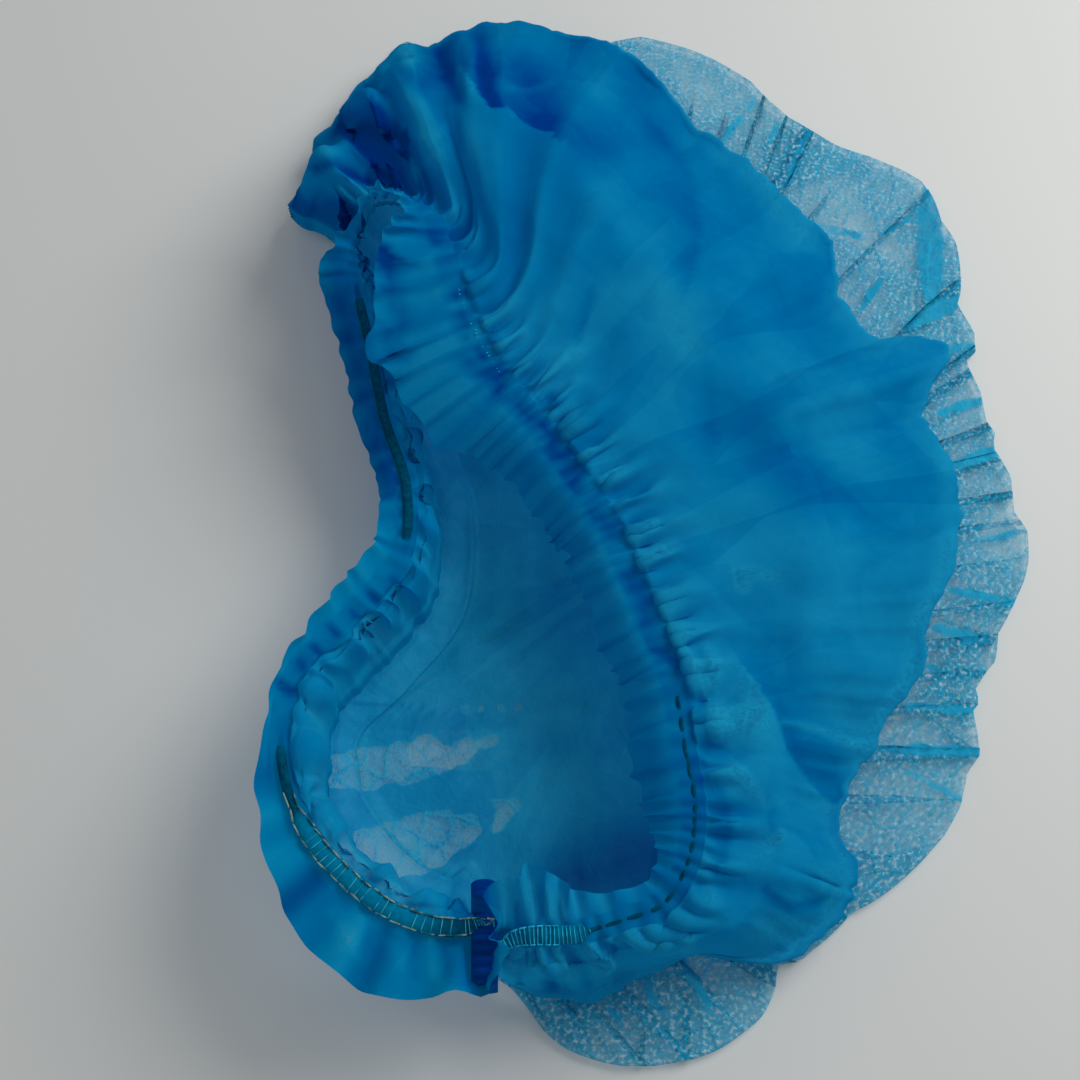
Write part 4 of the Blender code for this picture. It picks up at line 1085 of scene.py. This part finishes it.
# Places where fewer plies lie together, by their corners in the photograph's pixels
PANES = (
    ((318, 772), (327, 757), (401, 740), (404, 744), (397, 786), (352, 792), (330, 788)),
    ((404, 744), (420, 733), (472, 757), (470, 766), (398, 787)),
    ((449, 733), (505, 735), (490, 752), (470, 752)),
    ((343, 811), (422, 812), (478, 798), (480, 838), (425, 876), (389, 878), (356, 851)),
    ((489, 797), (523, 800), (516, 816), (493, 834)),
    ((428, 707), (520, 704), (522, 713), (470, 714)),
)
# How much of its shadow the cloth casts, because light that it scatters still gets through
SHADOW_SHARE = 0.62


# Plies that lie double on the margin, the lobe and the floor: two ends in pixels, width, and shade
BANDS = (
    (756, 97, 722, 142, 5, 0.45), (784, 117, 761, 150, 3, 0.45), (809, 131, 786, 184, 8, 0.6),
    (922, 215, 891, 228, 4, 0.5), (891, 228, 868, 238, 4, 0.5), (868, 238, 819, 226, 4, 0.4),
    (930, 190, 931, 298, 24, 0.3), (882, 278, 861, 309, 6, 0.5), (962, 300, 905, 325, 14, 0.4),
    (974, 345, 940, 352, 10, 0.4), (986, 400, 940, 412, 8, 0.4), (998, 450, 955, 466, 12, 0.4),
    (1012, 495, 966, 505, 6, 0.4), (1024, 530, 968, 545, 5, 0.4), (1014, 603, 950, 590, 7, 0.4),
    (997, 645, 936, 628, 12, 0.45), (982, 688, 925, 664, 8, 0.4), (976, 712, 905, 705, 8, 0.4),
    (976, 752, 878, 748, 10, 0.45), (962, 800, 905, 770, 4, 0.4), (606, 990, 619, 1019, 10, 0.5),
    (644, 974, 660, 1017, 4, 0.5), (681, 958, 711, 1010, 9, 0.5), (647, 1006, 697, 1020, 4, 0.4),
    (353, 703, 414, 706, 4, 0.3), (414, 706, 491, 713, 3, 0.3), (370, 724, 520, 722, 16, 0.15),
)


def ply_marks(points):
    """How many pixels deep each point lies in a pane and in a band, and the band's shade."""
    seen = pixels_of(points)
    deep_in_pane = np.full(len(seen), -99.0)
    for pane in PANES:
        corners = np.array(pane, float)
        middle = corners.mean(0)
        inner = np.full(len(seen), 99.0)
        for start, end in zip(corners, np.roll(corners, -1, 0)):
            across = unit(np.array([end[1] - start[1], start[0] - end[0]]))
            across = across * np.sign((middle - start) @ across)
            inner = np.minimum(inner, (seen - start) @ across)
        deep_in_pane = np.maximum(deep_in_pane, inner)
    deep_in_band = np.full(len(seen), -99.0)
    shades = np.zeros(len(seen))
    for first_x, first_y, last_x, last_y, width, shade in BANDS:
        start, end = np.array([first_x, first_y], float), np.array([last_x, last_y], float)
        length = np.linalg.norm(end - start)
        along = (end - start) / length
        share = np.clip((seen - start) @ along / length, 0, 1)
        away = np.linalg.norm(seen - start - share[:, None] * length * along, axis=1)
        taper = 0.35 + 0.65 * np.sin(math.pi * (0.1 + 0.8 * share))
        inner = width / 2 * taper - away
        shades = np.where(inner > deep_in_band, shade, shades)
        deep_in_band = np.maximum(deep_in_band, inner)
    return np.column_stack([deep_in_pane, deep_in_band, shades])


def cloth_material(name, thin, thick, through, tint, bump, shine, plies_marked):
    """A spunbond cloth. Through is the share of light that glows through, tint that light's colour."""
    material = bpy.data.materials.new(name)
    material.use_nodes = True
    material.node_tree.nodes.clear()
    nodes = Nodes(material.node_tree)
    place = nodes.add("ShaderNodeTexCoord").outputs["Object"]
    lay = nodes.add("ShaderNodeUVMap", uv_map="flat_lay").outputs["UV"]
    bunching_and_painted_shade = nodes.add("ShaderNodeAttribute", attribute_name="bunching_and_painted_shade").outputs["Fac"]
    pleating = nodes.add("ShaderNodeAttribute", attribute_name="pleating").outputs["Vector"]
    if not plies_marked:
        bunching_and_painted_shade = nodes.math("MAXIMUM", bunching_and_painted_shade, 0.25)
    else:
        marks = nodes.add("ShaderNodeAttribute", attribute_name="ply_marks").outputs["Vector"]
        split = nodes.add("ShaderNodeSeparateXYZ", {"Vector": marks})
        wander = nodes.add("ShaderNodeTexNoise", {"Vector": place, "Scale": 190.0, "Detail": 1.0})
        wander = nodes.band(wander.outputs["Fac"], 0.3, 0.7, -3.5, 3.5)
        pane = nodes.math("ADD", split.outputs["X"], wander)
        keep = nodes.band(pane, 0.0, 2.0, 1.0, 0.38)
        bunching_and_painted_shade = nodes.math("MULTIPLY", bunching_and_painted_shade, keep)
        ply = nodes.math("ADD", split.outputs["Y"], nodes.math("MULTIPLY", wander, 0.5))
        ply = nodes.math("MULTIPLY", nodes.band(ply, -2.0, 1.0), split.outputs["Z"])
        bunching_and_painted_shade = nodes.math("ADD", bunching_and_painted_shade, ply)
    given = {"Lay": lay, "Place": place, "Pleating": pleating, "Bunching": bunching_and_painted_shade}
    given.update({"Thin": thin, "Thick": thick})
    web = nodes.add("ShaderNodeGroup", given, node_tree=spunbond_group())
    relief = nodes.add(
        "ShaderNodeBump", {"Height": web.outputs["Relief"], "Strength": bump, "Distance": 0.0006}
    )
    shadow = nodes.add("ShaderNodeLightPath").outputs["Is Shadow Ray"]
    kept = nodes.band(shadow, 0.0, 1.0, 1.0, SHADOW_SHARE)
    shell = nodes.add(
        "ShaderNodeBsdfPrincipled",
        {
            "Base Color": web.outputs["Colour"],
            "Roughness": web.outputs["Roughness"],
            "Alpha": nodes.math("MULTIPLY", web.outputs["Opacity"], kept),
            "Normal": relief.outputs["Normal"],
            "Specular IOR Level": shine,
        },
    )
    glow = nodes.add("ShaderNodeBsdfTranslucent", {"Color": tint})
    both = nodes.add("ShaderNodeMixShader", {0: through, 1: shell.outputs[0], 2: glow.outputs[0]})
    nodes.add("ShaderNodeOutputMaterial", {"Surface": both.outputs[0]})
    return material


def dense_cloth():
    return cloth_material("drawn_cloth", 0.55, 1.0, 0.38, (0.0, 0.46, 0.86, 1.0), 0.25, 0.0, False)


def film_cloth():
    return cloth_material("single_cloth", 0.28, 1.0, 0.16, (0.0, 0.60, 0.85, 1.0), 0.9, 0.12, True)


def floor_and_light():
    """A pale table, a soft lamp from the upper right and dim daylight all round."""
    bpy.ops.object.select_all(action="DESELECT")
    bpy.ops.mesh.primitive_plane_add(size=4.0, location=(0.0, 0.0, -0.0002))
    table = bpy.context.object
    table.name = "table"
    bpy.ops.object.transform_apply(location=True, rotation=True, scale=True)
    material = bpy.data.materials.new("table_top")
    material.use_nodes = True
    shader = material.node_tree.nodes["Principled BSDF"]
    shader.inputs["Base Color"].default_value = (0.80, 0.81, 0.79, 1.0)
    shader.inputs["Roughness"].default_value = 0.55
    table.data.materials.append(material)

    lamp = bpy.data.lights.new("soft_lamp", "AREA")
    lamp.shape = "DISK"
    lamp.size = 0.60
    lamp.energy = 4.6
    lamp.color = (1.0, 0.99, 0.97)
    holder = linked("soft_lamp", lamp)
    holder.location = (0.52, 0.34, 0.62)
    aim = Vector((0.02, -0.02, 0.0)) - holder.location
    holder.rotation_euler = aim.to_track_quat("-Z", "Y").to_euler()

    world = bpy.data.worlds.new("daylight")
    world.use_nodes = True
    world.node_tree.nodes["Background"].inputs["Color"].default_value = (0.93, 0.97, 1.0, 1.0)
    world.node_tree.nodes["Background"].inputs["Strength"].default_value = 0.30
    bpy.context.scene.world = world


def camera():
    data = bpy.data.cameras.new("photo_camera")
    data.lens = LENS
    data.sensor_width = SENSOR
    data.clip_start = 0.01
    holder = linked("photo_camera", data)
    holder.location = CAMERA
    aim = Vector(TARGET) - Vector(CAMERA)
    holder.rotation_euler = aim.to_track_quat("-Z", "Y").to_euler()
    bpy.context.scene.camera = holder


class Tape:
    """The elastic as the photograph shows it: how wide, how deep under the cloth and what tone."""

    def __init__(self, mouth):
        self.stations = np.arange(STATIONS) / STATIONS
        way, along = mouth.direction("turn")
        face = unit(np.cross(along, way))
        face = face * np.where(face[:, 2:] < 0, -1.0, 1.0)
        self.middle = resampled(mouth.edge(), self.stations)
        self.way = unit(resampled(way, self.stations))
        self.face = unit(resampled(face, self.stations))
        near = mouth.between((506, 931), (292, 820), 0.003)
        side = mouth.between((292, 820), (272, 738), 0.006)
        waist = mouth.between((272, 738), (414, 546), 0.008)
        neck = mouth.between((414, 546), (372, 286), 0.010)
        hidden = mouth.between((372, 286), (668, 674), 0.012)
        ladder = mouth.between((585, 930), (484, 932), 0.0012)
        thread = mouth.between((668, 674), (590, 930), 0.006)
        dim = mouth.between((510, 931), (430, 926), 0.006)
        covered = np.maximum(waist, hidden)
        self.half = np.max([0.0020 * near, 0.0011 * side, 0.0012 * neck, 0.0020 * ladder], 0)
        self.half = np.maximum(self.half, 0.0004)
        self.lift = 0.0008 + 0.0014 * dim - 0.0030 * covered - 0.0003 * neck - 0.0011 * thread
        self.tone = 0.25 + 0.65 * near * (1 - dim) + 0.55 * ladder + 0.75 * covered
        self.near_span = (mouth.share_at((487, 932)), mouth.share_at((284, 803)))
        self.ladder_span = (mouth.share_at((590, 931)), mouth.share_at((496, 932)))
        self.glint_span = (mouth.share_at((462, 285)), mouth.share_at((500, 372)))

    def point(self, share, across, up):
        """A point on the tape, at shares of its half width across and metres above it."""
        at = (share % 1.0) * STATIONS
        low = int(at)
        step = at - low
        first, second = low % STATIONS, (low + 1) % STATIONS

        def read(rows):
            return rows[first] * (1 - step) + rows[second] * step

        half, lift = read(self.half), read(self.lift)
        return read(self.middle) + read(self.way) * across * half + read(self.face) * (lift + up)


def elastic_tape(tape):
    """The flat elastic, slightly rippled where the cloth pulls at it."""
    ripple = 0.00015 * np.sin(2 * math.pi * TAPE_RIPPLES * tape.stations)[:, None]
    corners = ((-1.0, 0.0), (-0.9, 1.0), (0.0, 1.1), (0.9, 1.0), (1.0, 0.0), (0.9, -1.0), (-0.9, -1.0))
    rings = [
        tape.middle
        + tape.way * across * tape.half[:, None]
        + tape.face * (tape.lift[:, None] + up * ELASTIC_THICKNESS * 0.4 + ripple)
        for across, up in corners
    ]
    rings = np.stack(rings, 1)
    count = len(corners)
    faces = []
    for here in range(STATIONS):
        low, high = here * count, (here + 1) % STATIONS * count
        for corner in range(count):
            near = (corner + 1) % count
            faces.append((low + corner, high + corner, high + near, low + near))
    mesh = bpy.data.meshes.new("elastic_tape")
    mesh.from_pydata(rings.reshape(-1, 3).tolist(), [], faces)
    tone = mesh.attributes.new("tone", "FLOAT", "POINT")
    tone.data.foreach_set("value", np.repeat(tape.tone, count))
    mesh.shade_smooth()
    mesh.materials.append(tape_material())
    return linked("elastic_tape", mesh)


def plain_material(name):
    """A new material with its nodes, its shader and the place on the piece."""
    material = bpy.data.materials.new(name)
    material.use_nodes = True
    nodes = Nodes(material.node_tree)
    shader = material.node_tree.nodes["Principled BSDF"]
    return material, nodes, shader, nodes.add("ShaderNodeTexCoord").outputs["Object"]


def finished(nodes, shader, colour, bump, roughness, shine):
    """Joins a colour and a bump to the shader, and sets its roughness and shine."""
    nodes.tree.links.new(colour, shader.inputs["Base Color"])
    nodes.tree.links.new(bump.outputs["Normal"], shader.inputs["Normal"])
    shader.inputs["Roughness"].default_value = roughness
    shader.inputs["Specular IOR Level"].default_value = shine


def tape_material():
    """Covered rubber: nearly black where it is bare, blue green under its stitching."""
    material, nodes, shader, place = plain_material("elastic_rubber")
    tone = nodes.add("ShaderNodeAttribute", attribute_name="tone").outputs["Fac"]
    grain = nodes.add("ShaderNodeTexNoise", {"Vector": place, "Scale": 900.0, "Detail": 3.0})
    uneven = nodes.band(grain.outputs["Fac"], 0.3, 0.7, -0.12, 0.12)
    tone = nodes.math("ADD", tone, uneven)
    colour = nodes.mix(nodes.band(tone, 0.0, 1.0), (0.0, 0.026, 0.060, 1.0), (0.0, 0.22, 0.42, 1.0))
    colour = nodes.mix(nodes.band(tone, 1.0, 2.0), colour, (0.0, 0.42, 0.66, 1.0))
    bump = nodes.add("ShaderNodeBump", {"Height": grain.outputs["Fac"], "Strength": 0.4, "Distance": 0.0003})
    finished(nodes, shader, colour, bump, 0.9, 0.0)
    return material


def thread_material(name, dark, light):
    """Twisted thread that changes tone along its run."""
    material, nodes, shader, place = plain_material(name)
    patches = nodes.add("ShaderNodeTexNoise", {"Vector": place, "Scale": 420.0, "Detail": 2.0})
    twist = nodes.add("ShaderNodeTexNoise", {"Vector": place, "Scale": 3500.0})
    colour = nodes.mix(nodes.band(patches.outputs["Fac"], 0.38, 0.6), dark, light)
    bump = nodes.add("ShaderNodeBump", {"Height": twist.outputs["Fac"], "Strength": 0.5, "Distance": 0.0001})
    finished(nodes, shader, colour, bump, 0.7, 0.2)
    return material


def one_stitch():
    """One stitch of thread along X, a metre long and thick, with its ends drawn in."""
    bpy.ops.object.select_all(action="DESELECT")
    bpy.ops.mesh.primitive_cylinder_add(vertices=6, radius=0.5, depth=0.7, rotation=(0, math.pi / 2, 0))
    stitch = bpy.context.object
    bpy.ops.object.transform_apply(location=True, rotation=True, scale=True)
    bpy.ops.object.mode_set(mode="EDIT")
    bpy.ops.mesh.select_mode(type="FACE")
    for end in (-1, 1):
        bpy.ops.mesh.select_all(action="DESELECT")
        shape = bmesh.from_edit_mesh(stitch.data)
        for face in shape.faces:
            face.select_set(face.normal.x * end > 0.9)
        bmesh.update_edit_mesh(stitch.data)
        bpy.ops.mesh.extrude_region_move(TRANSFORM_OT_translate={"value": (0.15 * end, 0, 0)})
        bpy.ops.transform.resize(value=(1, 0.45, 0.45), center_override=(0.5 * end, 0, 0))
    bpy.ops.object.mode_set(mode="OBJECT")
    return stitch


def stitched(name, stitch, runs, material):
    """Stitches between pairs of points, each a copy of the one stitch, joined into one piece."""
    pieces = []
    for start, end, thick in runs:
        copy = linked(name, stitch.data.copy())
        start, end = Vector(start), Vector(end)
        turn = (end - start).to_track_quat("X", "Z").to_matrix().to_4x4()
        size = Matrix.Diagonal(((end - start).length, thick, thick, 1.0))
        copy.data.transform(Matrix.Translation((start + end) / 2) @ turn @ size)
        pieces.append(copy)
    bpy.ops.object.select_all(action="DESELECT")
    for piece in pieces:
        piece.select_set(True)
    bpy.context.view_layer.objects.active = pieces[0]
    bpy.ops.object.join()
    bpy.ops.object.shade_smooth_by_angle(angle=math.radians(50))
    piece = pieces[0]
    piece.name = name
    piece.data.materials.clear()
    piece.data.materials.append(material)
    return piece


def rail_runs(tape):
    """The two rails of thread along the near elastic, and the loop that ends them at the seam."""
    random = np.random.default_rng(7)
    start, end = tape.near_span
    end = start + (end - start) % 1.0
    flat = tape.middle[:, :2]
    around = 2 * math.pi * np.linalg.norm(flat - flat.mean(0), axis=1).mean()
    pitch = RAIL_PITCH / around
    runs = []
    for side in (-1.0, 1.0):
        at = start
        while at < end:
            reach = pitch * random.uniform(0.75, 0.97)
            sway = random.uniform(-0.10, 0.06, 2)
            first = tape.point(at, side * (0.98 + sway[0]), RAIL_LIFT)
            last = tape.point(at + reach, side * (0.98 + sway[1]), RAIL_LIFT)
            runs.append((first, last, random.uniform(0.00034, 0.00046)))
            at += pitch
    loop = [
        tape.point(start - 0.004 * math.cos(turn) - 0.001, math.sin(turn), 0.0009)
        for turn in np.linspace(-math.pi / 2, math.pi / 2, 7)
    ]
    runs += [(first, second, 0.0006) for first, second in zip(loop[:-1], loop[1:])]
    return runs


def cross_runs(tape):
    """The cross stitches over the near elastic, the seam's ladder and a few on the far lip."""
    random = np.random.default_rng(8)
    runs, bright = [], []
    start, end = tape.near_span
    end = start + (end - start) % 1.0
    for at in np.arange(start + 0.004, start + (end - start) * 0.86, CROSS_STEP):
        if random.uniform() < 0.25:
            continue
        sway = random.uniform(-0.0004, 0.0004)
        first, last = tape.point(at, -0.85, CROSS_LIFT), tape.point(at + sway, 0.85, CROSS_LIFT)
        runs.append((first, last, 0.00022))
    start, end = tape.ladder_span
    end = start + (end - start) % 1.0
    for at in np.arange(start, end, LADDER_STEP):
        fade = smooth_step((at - start) / (end - start), 0.0, 0.5)
        sway = random.uniform(-0.0005, 0.0005)
        first, last = tape.point(at, -1.0, CROSS_LIFT), tape.point(at + sway, 1.0, CROSS_LIFT)
        bright.append((first, last, 0.00020 + 0.00012 * fade))
    for side in (-1.0, 1.0):
        for at in np.arange(start + (end - start) * 0.3, end, 0.0048):
            first, last = tape.point(at, side, CROSS_LIFT), tape.point(at + 0.0040, side, CROSS_LIFT)
            bright.append((first, last, 0.00038))
    start, end = tape.glint_span
    for at in np.arange(start, end, 0.0026):
        if random.uniform() < 0.45:
            continue
        lean = random.uniform(-0.6, 0.4)
        first = tape.point(at, lean, GLINT_LIFT)
        last = tape.point(at + 0.0008, lean + 0.9, GLINT_LIFT)
        bright.append((first, last, 0.00025))
    return runs, bright


def seam_strip(cloth):
    """The cap's seam where the elastic's ends meet: a narrow ribbed strip turned over the lip."""
    points = np.empty(len(cloth.data.vertices) * 3)
    cloth.data.vertices.foreach_get("co", points)
    points = points.reshape(-1, 3)
    seen = pixels_of(points)
    left, right, top, bottom = SEAM_SEEN
    near = (seen > (left - 8, top - 8)).all(1) & (seen < (right + 8, bottom + 8)).all(1)
    points, seen = points[near], seen[near]
    away = np.linalg.norm(points - CAMERA, axis=1)
    across = np.linspace(-1, 1, 13)
    down = np.linspace(0, 1, 150)
    pixels = np.stack(np.meshgrid(across, down), 2).reshape(-1, 2)
    pixels = np.stack(
        [
            (left + right) / 2 + pixels[:, 0] * (right - left) / 2,
            top + pixels[:, 1] * (bottom - top),
        ],
        1,
    )
    height = np.empty(len(pixels))
    for place, pixel in enumerate(pixels):
        close = np.linalg.norm(seen - pixel, axis=1) < 5
        height[place] = points[close][away[close].argmin(), 2] if close.any() else points[:, 2].mean()
    height = height.reshape(len(down), len(across)).mean(1)
    padded = np.pad(height, 9, mode="edge")
    height = np.convolve(padded, np.ones(19) / 19, mode="valid")
    smooth = seen_at(pixels, 0.0).reshape(len(down), len(across), 3)
    share = (height + SEAM_LIFT)[:, None, None] / CAMERA[2]
    smooth = smooth + (CAMERA - smooth) * share
    fine = np.append(0.0, np.linalg.norm(np.diff(smooth.mean(1), axis=0), axis=1).cumsum())
    count = len(across)
    normals = grid_normals(np.concatenate([smooth, smooth[:, ::-1]], 1))[:, :count]
    upright = normals * np.where(normals[..., 2:] < 0, -1.0, 1.0)
    ribs = 0.5 + 0.5 * np.cos(2 * math.pi * fine / RIB_PITCH)
    rise = 0.0005 * ribs[:, None] * (1 - across[None] ** 4) - 0.0006 * across[None] ** 2
    smooth = smooth + upright * rise[..., None]
    faces = [
        (here, here + 1, here + count + 1, here + count)
        for row in range(len(fine) - 1)
        for here in range(row * count, (row + 1) * count - 1)
    ]
    wide = np.linalg.norm(np.diff(smooth, axis=1), axis=2).sum(1).mean()
    lay = np.stack(np.meshgrid(across * wide / 2, fine), 2).reshape(-1, 2)
    pleating = np.column_stack([lay * 20, np.zeros(len(lay))])
    # painted shade: the strip is set near black for the shadow inside the turned-under seam, a little
    # lighter on its rib crests
    dark = 2.75 - 0.75 * ribs[:, None] + 0.25 * np.abs(across)[None]
    piece = cloth_piece("seam_strip", smooth.reshape(-1, 3), faces, lay, pleating, dark)
    piece.data.materials.append(bpy.data.materials["drawn_cloth"])
    return piece


def main():
    camera()
    mouth = Mouth()
    cloth = cloth_mesh(mouth)
    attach(cloth, "root")
    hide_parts("crown", "hem_ruffle")
    strip = seam_strip(cloth)
    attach(strip, "root")
    tape = Tape(mouth)
    band = elastic_tape(tape)
    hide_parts("elastic_band")
    stitch = one_stitch()
    crossing, bright = cross_runs(tape)
    tan = thread_material("tan_thread", (0.0, 0.13, 0.17, 1.0), (0.28, 0.43, 0.36, 1.0))
    teal = thread_material("teal_thread", (0.0, 0.28, 0.44, 1.0), (0.05, 0.55, 0.70, 1.0))
    cyan = thread_material("cyan_thread", (0.0, 0.32, 0.60, 1.0), (0.02, 0.60, 0.88, 1.0))
    sewn = [
        stitched("rail_stitches", stitch, rail_runs(tape), tan),
        stitched("cross_stitches", stitch, crossing, teal),
        stitched("ladder_stitches", stitch, bright, cyan),
    ]
    bpy.data.objects.remove(stitch)
    for piece in [band, *sewn]:
        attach(piece, "root")
    floor_and_light()
    bpy.context.scene.view_settings.view_transform = "Standard"
    bpy.context.scene.cycles.transparent_max_bounces = 10


main()
